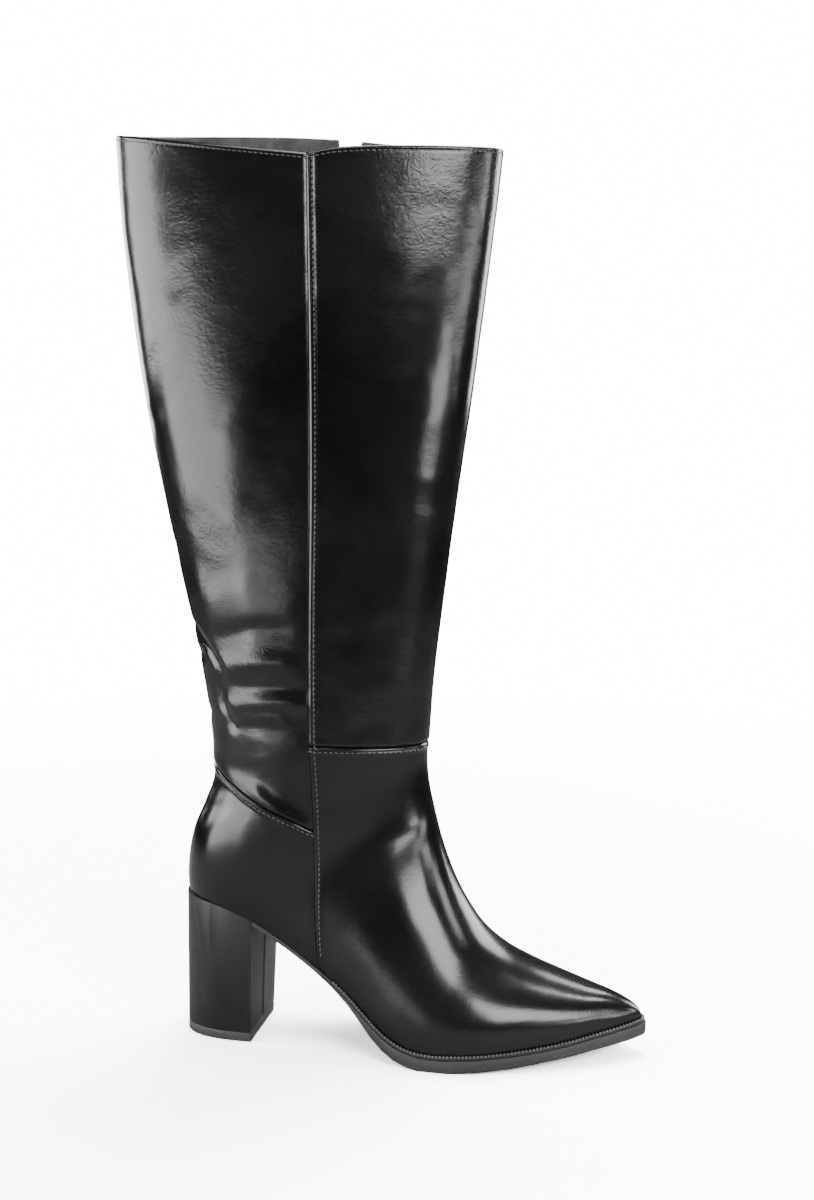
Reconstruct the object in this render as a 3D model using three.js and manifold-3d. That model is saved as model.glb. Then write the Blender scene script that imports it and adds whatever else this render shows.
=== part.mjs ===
// Knee-high boot with a block heel for the right foot, standing empty on its heel and forefoot.
// Millimetres, +X to the toe, +Y to the medial side, +Z up.
// The origin is the centre of the heel's bottom face.

import * as THREE from "three";
import { mergeVertices } from "three/addons/utils/BufferGeometryUtils.js";
import Module from "manifold-3d";

const wasm = await Module();
wasm.setup();

// Driving sizes of the last
const footLength = 239.5;
const ballWidth = 82;
const heelHeight = 77;
const ankleRise = 83;
const toeSpring = 11;
const toeTipShift = -0.7;

// Driving sizes of the leg
const ankleWidth = 62;
const ankleDepth = 113;
const shaftRise = 297;
const shaftWidth = 76;
const shaftDepth = 195;
const shaftFrontReach = 36.6;
const collarBackRise = 6;
const collarFrontDrop = 2;
const collarSeamDip = 5.5;
const collarMedialRise = 3.5;
const collarNotchLength = 9;

// Driving sizes of the heel
const heelLength = 39.5;
const heelWidth = 48;
const heelLean = 1.15;
const breastSlope = 2.4;
const liftThickness = 5;

// Driving sizes of the leather and the sole
const wall = 2;
const shaftOverlap = 0.6;
const seamWidth = 3.2;
const seamHeight = 0.8;
const lastingMargin = 12;
const insoleThickness = 2.6;
const forefootSole = 8.7;
const waistSole = 2.5;
const weltThickness = 1.4;
const weltWidth = 6;
const weltProjection = 2.1;
const soleLip = 0.5;

// Driving sizes of the zip
const zipOpening = 12;
const zipChainWidth = 7.6;
const zipChainThickness = 1.8;
const zipTapeWidth = 30;
const zipTapeThickness = 0.8;
const zipTapeClearance = 0.4;
const zipTapeBelow = 4;
const zipChainInset = 3;
const zipFootRise = 19;
const zipTopInset = 5;
const sliderWidth = 9.4;
const sliderHeight = 12;
const sliderThickness = 4.4;
const crownWidth = 2.4;
const crownBar = 1.1;
const crownSpan = 6.4;
const sliderSeat = 0.55;
const pullBar = 1.3;
const pullLength = 23;
const pullWidth = 6.8;
const pullThickness = 1.3;

// Clearance between neighbours
const gap = 0.3;

// How finely the form is faceted
const loftRings = 39;
const ringPoints = 32;
const seamSteps = 12;
const reach = 120;

const leatherColour = 0x131315;
const soleColour = 0x262628;
const heelColour = 0x1d1d1f;
const liftColour = 0x3a3a3c;
const weltColour = 0x1b1b1c;
const insoleColour = 0x4a4744;
const tapeColour = 0x18181a;
const chainColour = 0x0e0e10;
const metalColour = 0x8c8c90;

const counterBack = -heelLength / 2 + heelLean;
const ankleHeight = heelHeight + ankleRise;
const collarHeight = ankleHeight + shaftRise;
const toeTip = counterBack + footLength;

function alongFoot(share) {
  return counterBack + share * footLength;
}

function blend(low, high, share) {
  return low + (high - low) * share;
}

function smoothStep(share) {
  const held = Math.min(Math.max(share, 0), 1);
  return held * held * (3 - 2 * held);
}

// A smooth curve through the points of a table, read at any place along it
function curveThrough(points) {
  const slopes = points.map((point, index) => {
    const before = points[Math.max(index - 1, 0)];
    const after = points[Math.min(index + 1, points.length - 1)];
    return (after[1] - before[1]) / (after[0] - before[0]);
  });
  return (place) => {
    let index = 0;
    while (index < points.length - 2 && place > points[index + 1][0]) index += 1;
    const [fromPlace, fromValue] = points[index];
    const [toPlace, toValue] = points[index + 1];
    const span = toPlace - fromPlace;
    const t = Math.min(Math.max((place - fromPlace) / span, 0), 1);
    const bend = (toValue - fromValue) * (3 - 2 * t) * t * t;
    const ease = (slopes[index] * (t - 1) * (t - 1) * t + slopes[index + 1] * (t - 1) * t * t) * span;
    return fromValue + bend + ease;
  };
}

// Line of the sole from the heel to the toe. Each row: place along the foot, share of the rise to
// the heel, share of the toe spring, share of the change from the waist's sole to the forefoot's.
const soleRows = [
  [-0.08, 1.0, 0, 0],
  [0.005, 1.0, 0, 0],
  [0.09, 0.965, 0, 0],
  [0.171, 0.86, 0, 0],
  [0.233, 0.73, 0, 0],
  [0.3, 0.578, 0, 0],
  [0.355, 0.442, 0, 0.12],
  [0.395, 0.325, 0, 0.34],
  [0.43, 0.208, 0, 0.74],
  [0.468, 0.1, 0, 0.97],
  [0.514, 0.024, 0, 1.02],
  [0.565, 0, 0, 1],
  [0.615, 0, 0.02, 1],
  [0.68, 0, 0.08, 0.93],
  [0.758, 0, 0.19, 0.86],
  [0.836, 0, 0.37, 0.82],
  [0.894, 0, 0.58, 0.86],
  [0.957, 0, 0.83, 0.92],
  [1.0, 0, 1, 0.94],
  [1.06, 0, 1.24, 0.94],
];
const heelRiseCurve = curveThrough(soleRows.map(([along, rise]) => [along, rise]));
const springCurve = curveThrough(soleRows.map(([along, , spring]) => [along, spring]));
const soleBuildCurve = curveThrough(soleRows.map(([along, , , build]) => [along, build]));
const ballHeight = forefootSole - 0.3;

function featherHeight(x) {
  const share = (x - counterBack) / footLength;
  return ballHeight + heelRiseCurve(share) * (heelHeight - ballHeight) + springCurve(share) * toeSpring;
}

function treadHeight(x) {
  const share = (x - counterBack) / footLength;
  const thickness = blend(waistSole, forefootSole, soleBuildCurve(share));
  return Math.max(featherHeight(x) - thickness, 0);
}

// Sections of the leg from above the collar down to the ankle. Opening shares run from
// the ankle at 0 to the collar at 1, for the front, the back and the width.
const legColumns = ["height", "frontOpen", "backOpen", "widthOpen", "belly", "topPower", "backPower"];
const legRows = [
  [1.08, 1.07, 1.02, 1.0, 0.47, 2.05, 2.1],
  [1.0, 1.0, 1.0, 1.0, 0.47, 2.05, 2.1],
  [0.88, 0.89, 0.955, 0.99, 0.47, 2.05, 2.1],
  [0.76, 0.768, 0.875, 0.95, 0.465, 2.05, 2.1],
  [0.64, 0.64, 0.775, 0.86, 0.46, 2.05, 2.1],
  [0.53, 0.515, 0.66, 0.72, 0.455, 2.05, 2.1],
  [0.42, 0.385, 0.52, 0.54, 0.45, 2.05, 2.1],
  [0.3, 0.255, 0.36, 0.33, 0.44, 2.05, 2.1],
  [0.19, 0.14, 0.2, 0.15, 0.43, 2.05, 2.1],
  [0.09, 0.05, 0.075, 0.04, 0.42, 2.05, 2.1],
  [0.0, 0.0, 0.0, 0.0, 0.42, 2.05, 2.1],
];

// Sections of the foot from the ankle round the heel and forward to the toe. Lengths along the
// foot are shares of its length, front heights of the ankle's height, back levels over the sole
// line of the ankle's rise, and widths of the ball's width.
const footColumns = [
  "frontAlong", "frontHeight", "backAlong", "backLevel", "lateral", "medial",
  "ridge", "belly", "topPower", "backPower",
];
const footRows = [
  [0.5320, 0.963, 0.0620, 0.760, 0.374, 0.374, 0.000, 0.41, 2.05, 2.10],
  [0.5315, 0.933, 0.0420, 0.583, 0.374, 0.374, 0.000, 0.40, 2.05, 2.10],
  [0.5325, 0.904, 0.0140, 0.386, 0.378, 0.378, 0.000, 0.38, 2.05, 2.10],
  [0.5345, 0.875, 0.0005, 0.169, 0.382, 0.380, 0.002, 0.36, 2.05, 2.10],
  [0.5375, 0.844, 0.0040, -0.03, 0.382, 0.378, 0.004, 0.34, 2.05, 2.20],
  [0.5420, 0.810, 0.0320, -0.18, 0.378, 0.370, 0.006, 0.32, 2.05, 2.40],
  [0.5475, 0.775, 0.1070, -0.21, 0.376, 0.360, 0.008, 0.30, 2.00, 2.80],
  [0.5530, 0.738, 0.1900, -0.17, 0.380, 0.348, 0.010, 0.29, 2.00, 3.20],
  [0.5610, 0.690, 0.2650, -0.145, 0.394, 0.337, 0.014, 0.28, 1.95, 3.60],
  [0.5735, 0.630, 0.3360, -0.138, 0.420, 0.331, 0.018, 0.28, 1.90, 3.80],
  [0.5925, 0.553, 0.3990, -0.138, 0.457, 0.343, 0.024, 0.28, 1.90, 4.00],
  [0.6180, 0.475, 0.4570, -0.138, 0.502, 0.372, 0.030, 0.29, 1.95, 4.00],
  [0.6540, 0.393, 0.5220, -0.136, 0.537, 0.410, 0.035, 0.30, 2.00, 4.00],
  [0.7020, 0.329, 0.5950, -0.136, 0.545, 0.444, 0.037, 0.32, 2.05, 4.00],
  [0.7610, 0.280, 0.6740, -0.132, 0.503, 0.452, 0.035, 0.34, 2.10, 4.00],
  [0.8230, 0.2445, 0.7550, -0.126, 0.412, 0.403, 0.028, 0.36, 2.15, 4.00],
  [0.8790, 0.218, 0.8310, -0.116, 0.313, 0.312, 0.018, 0.39, 2.20, 4.00],
  [0.9270, 0.199, 0.8950, -0.105, 0.216, 0.211, 0.006, 0.43, 2.20, 4.00],
  [0.9650, 0.178, 0.9430, -0.082, 0.140, 0.130, -0.003, 0.46, 2.20, 3.60],
  [0.9890, 0.156, 0.9730, -0.060, 0.082, 0.068, -0.007, 0.48, 2.20, 3.00],
  [1.0000, 0.128, 0.9900, -0.034, 0.036, 0.020, -0.009, 0.50, 2.20, 2.40],
];

function namedRow(columns, row) {
  return Object.fromEntries(columns.map((column, index) => [column, row[index]]));
}

const ankleFront = alongFoot(0.533);
const ankleBack = ankleFront - ankleDepth;
const collarFront = ankleFront + shaftFrontReach;
const collarBack = collarFront - shaftDepth;

function legSection(row) {
  const share = namedRow(legColumns, row);
  const height = ankleHeight + share.height * shaftRise;
  const halfWidth = blend(ankleWidth, shaftWidth, share.widthOpen) / 2;
  return {
    frontX: blend(ankleFront, collarFront, share.frontOpen),
    frontZ: height,
    backX: blend(ankleBack, collarBack, share.backOpen),
    backZ: height,
    lateral: halfWidth,
    medial: halfWidth,
    ridge: 0,
    belly: share.belly,
    topPower: share.topPower,
    backPower: share.backPower,
  };
}

function footSection(row) {
  const share = namedRow(footColumns, row);
  const backX = alongFoot(share.backAlong);
  return {
    frontX: alongFoot(share.frontAlong),
    frontZ: share.frontHeight * ankleHeight,
    backX,
    backZ: featherHeight(backX) + share.backLevel * ankleRise,
    lateral: share.lateral * ballWidth,
    medial: share.medial * ballWidth,
    ridge: share.ridge * ballWidth,
    belly: share.belly,
    topPower: share.topPower,
    backPower: share.backPower,
  };
}

const keySections = [...legRows.map(legSection), ...footRows.map(footSection)];
const sectionFields = Object.keys(keySections[0]);
const fieldCurves = Object.fromEntries(sectionFields.map((field) => [
  field,
  curveThrough(keySections.map((section, index) => [index, section[field]])),
]));

function sectionAt(place) {
  return Object.fromEntries(sectionFields.map((field) => [field, fieldCurves[field](place)]));
}

function profileNormal(place, fieldX, fieldZ) {
  const step = 0.05;
  const before = Math.max(place - step, 0);
  const after = Math.min(place + step, keySections.length - 1);
  const along = new THREE.Vector2(
    fieldCurves[fieldX](after) - fieldCurves[fieldX](before),
    fieldCurves[fieldZ](after) - fieldCurves[fieldZ](before),
  ).normalize();
  return new THREE.Vector2(-along.y, along.x);
}

function roundedPair(angle, power) {
  const across = Math.abs(Math.sin(angle)) ** (2 / power);
  const along = Math.abs(Math.cos(angle)) ** (2 / power);
  return [along, across];
}

// One closed ring of the boot's form, grown or shrunk by an offset
function formRing(place, offset) {
  const section = sectionAt(place);
  const frontNormal = profileNormal(place, "frontX", "frontZ");
  const backNormal = profileNormal(place, "backX", "backZ");
  const frontX = section.frontX + frontNormal.x * offset;
  const frontZ = section.frontZ + frontNormal.y * offset;
  const backX = section.backX - backNormal.x * offset;
  const backZ = section.backZ - backNormal.y * offset;
  const lateral = Math.max(section.lateral + offset, section.lateral * 0.3);
  const medial = Math.max(section.medial + offset, section.medial * 0.3);
  const ring = [];
  for (let index = 0; index < ringPoints; index += 1) {
    const angle = (2 * Math.PI * index) / ringPoints;
    const towardFront = Math.cos(angle) > 0;
    const [along, across] = roundedPair(angle, towardFront ? section.topPower : section.backPower);
    const share = towardFront
      ? section.belly + (1 - section.belly) * along
      : section.belly * (1 - along);
    const centre = section.ridge * smoothStep(share) + toeTipShift * (place / (keySections.length - 1)) ** 8;
    const edge = Math.sin(angle) > 0 ? -lateral : medial;
    ring.push(new THREE.Vector3(
      blend(backX, frontX, share),
      centre + (edge - centre) * across,
      blend(backZ, frontZ, share),
    ));
  }
  return ring;
}

function formRings(offset) {
  const last = keySections.length - 1;
  return Array.from({ length: loftRings + 1 }, (_, index) => formRing((last * index) / loftRings, offset));
}

// A closed solid from rings of equal counts, capped at both ends
function ringSolid(rings) {
  const count = rings[0].length;
  const centres = [rings[0], rings[rings.length - 1]].map((ring) => {
    const middle = new THREE.Vector3();
    ring.forEach((point) => middle.add(point));
    return middle.divideScalar(count);
  });
  const points = [...rings.flat(), ...centres];
  const firstCentre = rings.length * count;
  const triangles = [];
  for (let level = 0; level < rings.length - 1; level += 1) {
    for (let index = 0; index < count; index += 1) {
      const next = (index + 1) % count;
      const a = level * count + index;
      const b = level * count + next;
      triangles.push([a, b, b + count], [a, b + count, a + count]);
    }
  }
  for (let index = 0; index < count; index += 1) {
    const next = (index + 1) % count;
    const lastRing = (rings.length - 1) * count;
    triangles.push([firstCentre, next, index]);
    triangles.push([firstCentre + 1, lastRing + index, lastRing + next]);
  }
  const geometry = new THREE.BufferGeometry();
  geometry.setAttribute("position", new THREE.Float32BufferAttribute(points.flatMap((point) => point.toArray()), 3));
  geometry.setIndex(triangles.flat());
  return toSolid(geometry);
}

function signedVolume(positions, indices) {
  const corners = [new THREE.Vector3(), new THREE.Vector3(), new THREE.Vector3()];
  let volume = 0;
  for (let start = 0; start < indices.length; start += 3) {
    corners.forEach((corner, offset) => corner.fromArray(positions, indices[start + offset] * 3));
    volume += corners[0].dot(corners[1].clone().cross(corners[2])) / 6;
  }
  return volume;
}

// A three.js geometry as a solid, its faces turned outward
function toSolid(geometry) {
  const bare = geometry.clone();
  bare.deleteAttribute("normal");
  bare.deleteAttribute("uv");
  const merged = mergeVertices(bare, 1e-4);
  const positions = Float32Array.from(merged.attributes.position.array);
  const indices = Uint32Array.from(merged.index.array);
  if (signedVolume(positions, indices) < 0) {
    for (let start = 0; start < indices.length; start += 3) {
      [indices[start + 1], indices[start + 2]] = [indices[start + 2], indices[start + 1]];
    }
  }
  return new wasm.Manifold(new wasm.Mesh({ numProp: 3, vertProperties: positions, triVerts: indices }));
}

function toNode(name, solid, material) {
  const mesh = solid.getMesh();
  const geometry = new THREE.BufferGeometry();
  geometry.setAttribute("position", new THREE.Float32BufferAttribute(mesh.vertProperties, 3));
  geometry.setIndex(new THREE.Uint32BufferAttribute(mesh.triVerts, 1));
  geometry.computeVertexNormals();
  const node = new THREE.Mesh(geometry, material);
  node.name = name;
  return node;
}

function outlineShape(points) {
  return new THREE.Shape(points.map(([across, up]) => new THREE.Vector2(across, up)));
}

// A flat outline in plan, carried up between two heights
function uprightPrism(points, low, high) {
  const geometry = new THREE.ExtrudeGeometry(outlineShape(points), { depth: high - low, bevelEnabled: false });
  geometry.translate(0, 0, low);
  return toSolid(geometry);
}

// A flat outline in the side view, carried across between two widths
function crossPrism(points, near, far) {
  const geometry = new THREE.ExtrudeGeometry(outlineShape(points), { depth: far - near, bevelEnabled: false });
  geometry.rotateX(Math.PI / 2);
  geometry.translate(0, far, 0);
  return toSolid(geometry);
}

const profileSteps = 44;
const profileStart = alongFoot(-0.075);
const profileEnd = alongFoot(1.055);

function profileLine(heightAt) {
  return Array.from({ length: profileSteps + 1 }, (_, index) => {
    const x = blend(profileStart, profileEnd, index / profileSteps);
    return [x, heightAt(x)];
  });
}

// All that lies above the sole line, raised by a distance
function aboveSole(raise) {
  const line = profileLine((x) => featherHeight(x) + raise);
  const top = collarHeight + reach;
  const wide = reach * 2;
  const ends = [[profileEnd + wide, line[line.length - 1][1]], [profileEnd + wide, top]];
  return crossPrism([...line, ...ends, [profileStart - wide, top], [profileStart - wide, line[0][1]]], -reach, reach);
}

// All that lies forward of a place along the foot
function forwardOf(x) {
  const end = toeTip + reach;
  return crossPrism([[x, -reach], [end, -reach], [end, ankleHeight], [x, ankleHeight]], -reach, reach);
}

function soleBand(lowAt, highAt) {
  return crossPrism([...profileLine(lowAt), ...profileLine(highAt).reverse()], -reach, reach);
}

// The whole form as a solid; cut by the sole line, it has a crisp feather edge
const formCache = new Map();
function lastForm(offset) {
  if (!formCache.has(offset)) formCache.set(offset, ringSolid(formRings(offset)));
  return formCache.get(offset);
}

function shell(outside, inside) {
  return lastForm(outside).subtract(lastForm(inside));
}

// Where one ring of the form crosses the sole line, on the lateral or the medial side
function featherCrossing(ring, side) {
  const half = ringPoints / 2;
  for (let step = 0; step < half; step += 1) {
    const from = ring[side > 0 ? step : (ringPoints - step) % ringPoints];
    const to = ring[side > 0 ? step + 1 : ringPoints - step - 1];
    const fromClear = from.z - featherHeight(from.x);
    const toClear = to.z - featherHeight(to.x);
    if (fromClear > 0 && toClear <= 0) return from.clone().lerp(to, fromClear / (fromClear - toClear));
  }
  return null;
}

// Outline of the feather edge in plan, from the lateral side round the toe to the medial side
const bareRings = formRings(0);
const lateralFeather = bareRings.map((ring) => featherCrossing(ring, 1)).filter(Boolean);
const medialFeather = bareRings.map((ring) => featherCrossing(ring, -1)).filter(Boolean);
const toePoint = [toeTip, toeTipShift];
const featherOutline = [
  ...lateralFeather.map((point) => [point.x, point.y]),
  toePoint,
  ...medialFeather.reverse().map((point) => [point.x, point.y]),
];

function offsetOutline(points, distanceAt) {
  return points.map((point, index) => {
    const before = points[(index + points.length - 1) % points.length];
    const after = points[(index + 1) % points.length];
    const along = new THREE.Vector2(after[0] - before[0], after[1] - before[1]).normalize();
    const distance = distanceAt(point[0]);
    return [point[0] + along.y * distance, point[1] - along.x * distance];
  });
}

// The outline drawn in toward the foot's middle, ended where the toe gets too narrow
function narrowedOutline(inset) {
  const middleAt = (x) => toeTipShift * Math.max(x / toeTip, 0);
  const leastHalfWidth = inset * 1.25;
  return featherOutline.filter(([x, y]) => Math.abs(y - middleAt(x)) > leastHalfWidth).map(([x, y]) => {
    const middle = middleAt(x);
    const side = Math.sign(y - middle);
    return [x, y - side * inset];
  });
}

// Seam between the counter and the shaft: place along the foot, height over the heel's feather line
const counterLine = curveThrough([
  [-0.1, 1.0],
  [0.063, 0.835],
  [0.11, 0.76],
  [0.157, 0.68],
  [0.21, 0.606],
  [0.262, 0.543],
  [0.31, 0.478],
  [0.4, 0.4],
]);

// Side seam from the sole up past the collar
const seamColumns = ["height", "along"];
const seamRows = [
  [-0.6, 0.335],
  [-0.45, 0.33],
  [-0.25, 0.322],
  [-0.02, 0.318],
  [0.3, 0.316],
  [0.6, 0.313],
  [1.0, 0.308],
  [1.7, 0.31],
  [2.6, 0.318],
  [3.4, 0.321],
  [4.7, 0.319],
  [5.4, 0.319],
];
const seamTable = seamRows.map((row) => namedRow(seamColumns, row));

function seamPoint(row) {
  return [alongFoot(row.along), heelHeight + row.height * ankleRise];
}

const seamCurve = curveThrough(seamTable.map(seamPoint).map(([x, z]) => [z, x]));
const ankleSeamFront = ankleHeight - 0.5;
const ankleSeamSide = ankleHeight + 0.8;
const sideSeamX = seamCurve(heelHeight + 0.5 * ankleRise);

function ankleSeamHeight(x) {
  const share = (x - sideSeamX) / (ankleFront - sideSeamX);
  return blend(ankleSeamSide, ankleSeamFront, Math.min(share, 1.2));
}

function counterHeight(x) {
  return heelHeight + counterLine((x - counterBack) / footLength) * ankleRise;
}

function aboveAnkle(clearance) {
  const top = collarHeight + reach;
  const rearEnd = sideSeamX - clearance;
  const rearLine = Array.from({ length: seamSteps + 1 }, (_, index) => {
    const x = blend(alongFoot(-0.09), rearEnd, index / seamSteps);
    return [x, counterHeight(x) + clearance];
  });
  const rear = crossPrism([[-reach * 2, top], [-reach * 2, rearLine[0][1]], ...rearLine, [rearEnd, top]], -reach, reach);
  const frontStart = rearEnd - seamWidth;
  const frontEnd = ankleFront + reach;
  const frontLine = [frontStart, sideSeamX, ankleFront, frontEnd].map((x) => [x, ankleSeamHeight(x) + clearance]);
  const front = crossPrism([...frontLine, [frontEnd, top], [frontStart, top]], -reach, reach);
  return rear.add(front);
}

// The collar dips at the lateral seam, with a short notch in front of it, and is higher inside the leg
function collarRim(x, y) {
  const seamX = seamCurve(collarHeight);
  const back = collarHeight + collarBackRise;
  const front = collarHeight - collarFrontDrop;
  const dip = collarHeight - collarSeamDip;
  const toSeam = (x - collarBack) / (seamX - collarBack);
  const notch = Math.exp(-Math.max(x - seamX, 0) / collarNotchLength);
  const lateral = x < seamX ? blend(back, dip, Math.max(toSeam, 0)) : blend(front, dip, notch);
  const across = smoothStep((x - collarBack) / shaftDepth);
  const medial = blend(back + collarMedialRise, front, across ** 2.8);
  return blend(lateral, medial, smoothStep((y + shaftWidth / 2) / shaftWidth));
}

// All that lies below the collar, lowered by a distance
function belowCollar(lower) {
  const seamX = seamCurve(collarHeight);
  const notchShares = [0, 0.33, 0.78, 1.45, 2.45, 4.45, 7.2];
  const places = [
    collarBack - reach, collarBack, blend(collarBack, seamX, 0.33), blend(collarBack, seamX, 0.67),
    seamX - collarNotchLength / 6, ...notchShares.map((share) => seamX + share * collarNotchLength),
    collarFront, collarFront + reach,
  ];
  const widths = [-reach, -shaftWidth / 2, -shaftWidth / 4, 0, shaftWidth / 4, shaftWidth / 2, reach];
  const rings = places.map((x) => {
    const rim = widths.map((y) => new THREE.Vector3(x, y, collarRim(x, y) - lower));
    return [...rim, new THREE.Vector3(x, reach, -reach), new THREE.Vector3(x, -reach, -reach)];
  });
  return ringSolid(rings);
}

// A band along a line in the side view, between two distances from it, on one side of the leg
function sideBand(line, rearward, forward, near, far) {
  const offsetSide = (distance) => line.map(([x, z], index) => {
    const before = line[Math.max(index - 1, 0)];
    const after = line[Math.min(index + 1, line.length - 1)];
    const along = new THREE.Vector2(after[0] - before[0], after[1] - before[1]).normalize();
    return [x + along.y * distance, z - along.x * distance];
  });
  return crossPrism([...offsetSide(forward), ...offsetSide(rearward).reverse()], near, far);
}

// The folded edge of the side seam, standing out of the lateral wall
function seamRidge(region) {
  const line = seamTable.map(seamPoint);
  return sideBand(line, -seamWidth / 2, seamWidth / 2, -reach, 0)
    .intersect(shell(shaftOverlap + seamHeight, -wall / 2))
    .intersect(region);
}

// The zip's line on the medial side, from its foot up past the collar: place along the foot,
// height over the zip's foot as a share of the ankle's rise
const zipRows = [
  [0.388, 0.0],
  [0.373, 0.28],
  [0.358, 0.55],
  [0.345, 0.82],
  [0.337, 1.05],
  [0.332, 1.35],
  [0.332, 1.75],
  [0.336, 2.2],
  [0.338, 3.2],
  [0.337, 4.2],
  [0.335, 5.3],
];
const zipFootX = alongFoot(zipRows[0][0]);
const zipFootZ = featherHeight(zipFootX) + zipFootRise;
const zipLine = zipRows.map(([along, height]) => [alongFoot(along), zipFootZ + height * ankleRise]);

function zipBand(rearward, forward, below) {
  const [footX, footZ] = zipLine[0];
  const [nextX, nextZ] = zipLine[1];
  const along = new THREE.Vector2(nextX - footX, nextZ - footZ).normalize();
  const start = [footX - along.x * below, footZ - along.y * below];
  return sideBand([start, ...zipLine.slice(1)], rearward, forward, 0, reach);
}

const zipSlot = zipBand(-zipOpening / 2, zipOpening / 2, 0);

const leather = new THREE.MeshStandardMaterial({ color: leatherColour, roughness: 0.28, metalness: 0 });
const soleRubber = new THREE.MeshStandardMaterial({ color: soleColour, roughness: 0.75, metalness: 0 });
const heelFinish = new THREE.MeshStandardMaterial({ color: heelColour, roughness: 0.45, metalness: 0 });
const liftRubber = new THREE.MeshStandardMaterial({ color: liftColour, roughness: 0.7, metalness: 0 });
const weltFinish = new THREE.MeshStandardMaterial({ color: weltColour, roughness: 0.6, metalness: 0 });
const insoleLining = new THREE.MeshStandardMaterial({ color: insoleColour, roughness: 0.85, metalness: 0 });
const zipTape = new THREE.MeshStandardMaterial({ color: tapeColour, roughness: 0.9, metalness: 0 });
const zipCoil = new THREE.MeshStandardMaterial({ color: chainColour, roughness: 0.5, metalness: 0 });
const zipMetal = new THREE.MeshStandardMaterial({ color: metalColour, roughness: 0.35, metalness: 1 });

const boot = new THREE.Group();

// Leather of the leg and of the foot, one hollow solid each
function makeShaft() {
  const region = aboveAnkle(gap / 2).intersect(belowCollar(0));
  return shell(shaftOverlap, -wall)
    .intersect(region)
    .add(seamRidge(region))
    .subtract(zipSlot);
}

function makeUpper() {
  const inside = lastForm(-wall).intersect(aboveSole(wall));
  const opening = uprightPrism(narrowedOutline(lastingMargin), -reach, ankleHeight)
    .subtract(aboveSole(wall + 0.5));
  const region = aboveSole(0).subtract(aboveAnkle(-gap / 2));
  return lastForm(0)
    .subtract(inside)
    .intersect(region)
    .add(seamRidge(region))
    .subtract(opening)
    .subtract(zipSlot);
}

const insoleBase = wall + gap;
const insoleTop = insoleBase + insoleThickness;

function makeInsole() {
  return lastForm(-wall - gap)
    .intersect(aboveSole(insoleBase))
    .subtract(aboveSole(insoleTop));
}

boot.add(toNode("shaft", makeShaft(), leather));
boot.add(toNode("upper", makeUpper(), leather));
boot.add(toNode("insole", makeInsole(), insoleLining));

// Outsole from the breast of the heel to the toe, with a groove round the forefoot for the welt
const breastBase = heelLength / 2;
const breastTop = breastBase + breastSlope;
const weltStart = alongFoot(0.33);

function projectionAt(x) {
  return weltProjection * smoothStep((x - alongFoot(0.2)) / (alongFoot(0.42) - alongFoot(0.2)));
}

function weltRing(outset, width) {
  const outside = offsetOutline(featherOutline, (x) => projectionAt(x) + outset);
  const inside = offsetOutline(featherOutline, (x) => projectionAt(x) - width);
  const openInside = inside.filter(([x]) => x < toeTip - width * 2);
  return uprightPrism(outside, -reach, ankleHeight).subtract(uprightPrism(openInside, -reach, ankleHeight));
}

function makeOutsole() {
  const outline = offsetOutline(featherOutline, projectionAt);
  const grooveDepth = weltThickness + gap * 2;
  const groove = weltRing(gap * 4, weltWidth + gap)
    .intersect(aboveSole(-grooveDepth))
    .intersect(forwardOf(weltStart - gap));
  return uprightPrism(outline, -reach, ankleHeight)
    .intersect(soleBand(treadHeight, (x) => featherHeight(x) - gap))
    .intersect(forwardOf(breastTop + gap))
    .subtract(groove);
}

function makeWelt() {
  return weltRing(-soleLip, weltWidth)
    .intersect(soleBand((x) => featherHeight(x) - gap - weltThickness, (x) => featherHeight(x) - gap))
    .intersect(forwardOf(weltStart));
}

boot.add(toNode("outsole", makeOutsole(), soleRubber));
boot.add(toNode("welt", makeWelt(), weltFinish));

// Block heel that widens from the lift up to the seat of the upper, and the lift under it
const heelPower = 2.5;
const heelSteps = 22;
const heelDepthTop = breastTop - counterBack;

function heelOutline(level) {
  const depth = blend(heelLength, heelDepthTop, level);
  const breast = blend(breastBase, breastTop, level);
  const topHalf = featherOutline.filter(([x]) => Math.abs(x - breastTop) < heelLength * 0.36);
  const topWidth = Math.max(...topHalf.map(([, y]) => Math.abs(y)));
  const halfWidth = blend(heelWidth / 2, topWidth, level);
  return Array.from({ length: heelSteps + 1 }, (_, index) => {
    const angle = -Math.PI / 2 + (Math.PI * index) / heelSteps;
    const cosine = Math.max(Math.cos(angle), 0);
    const size = (cosine ** heelPower + Math.abs(Math.sin(angle)) ** heelPower) ** (1 / heelPower);
    return [breast - (depth * cosine) / size, (halfWidth * Math.sin(angle)) / size];
  });
}

function makeHeelBlock() {
  const base = liftThickness + gap;
  const levels = [0, 0.25, 0.5, 0.75, 1, 1.12];
  const rings = levels.map((level) => heelOutline(level).map(([x, y]) => (
    new THREE.Vector3(x, y, blend(base, heelHeight, level))
  )));
  return ringSolid(rings).subtract(aboveSole(-gap));
}

boot.add(toNode("heel_block", makeHeelBlock(), heelFinish));
boot.add(toNode("heel_lift", uprightPrism(heelOutline(0), 0, liftThickness), liftRubber));

// Zip on the medial side: two tapes behind the opening and the closed chain between its edges
function makeTape(rearward, forward) {
  const outside = -wall - zipTapeClearance;
  return shell(outside, outside - zipTapeThickness)
    .intersect(zipBand(rearward, forward, zipTapeBelow))
    .intersect(aboveSole(insoleTop + gap))
    .intersect(belowCollar(zipTopInset - gap));
}

const sliderZ = collarHeight - zipTopInset - sliderHeight / 2;
const chainTop = sliderZ - sliderHeight / 2 - gap;

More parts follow.
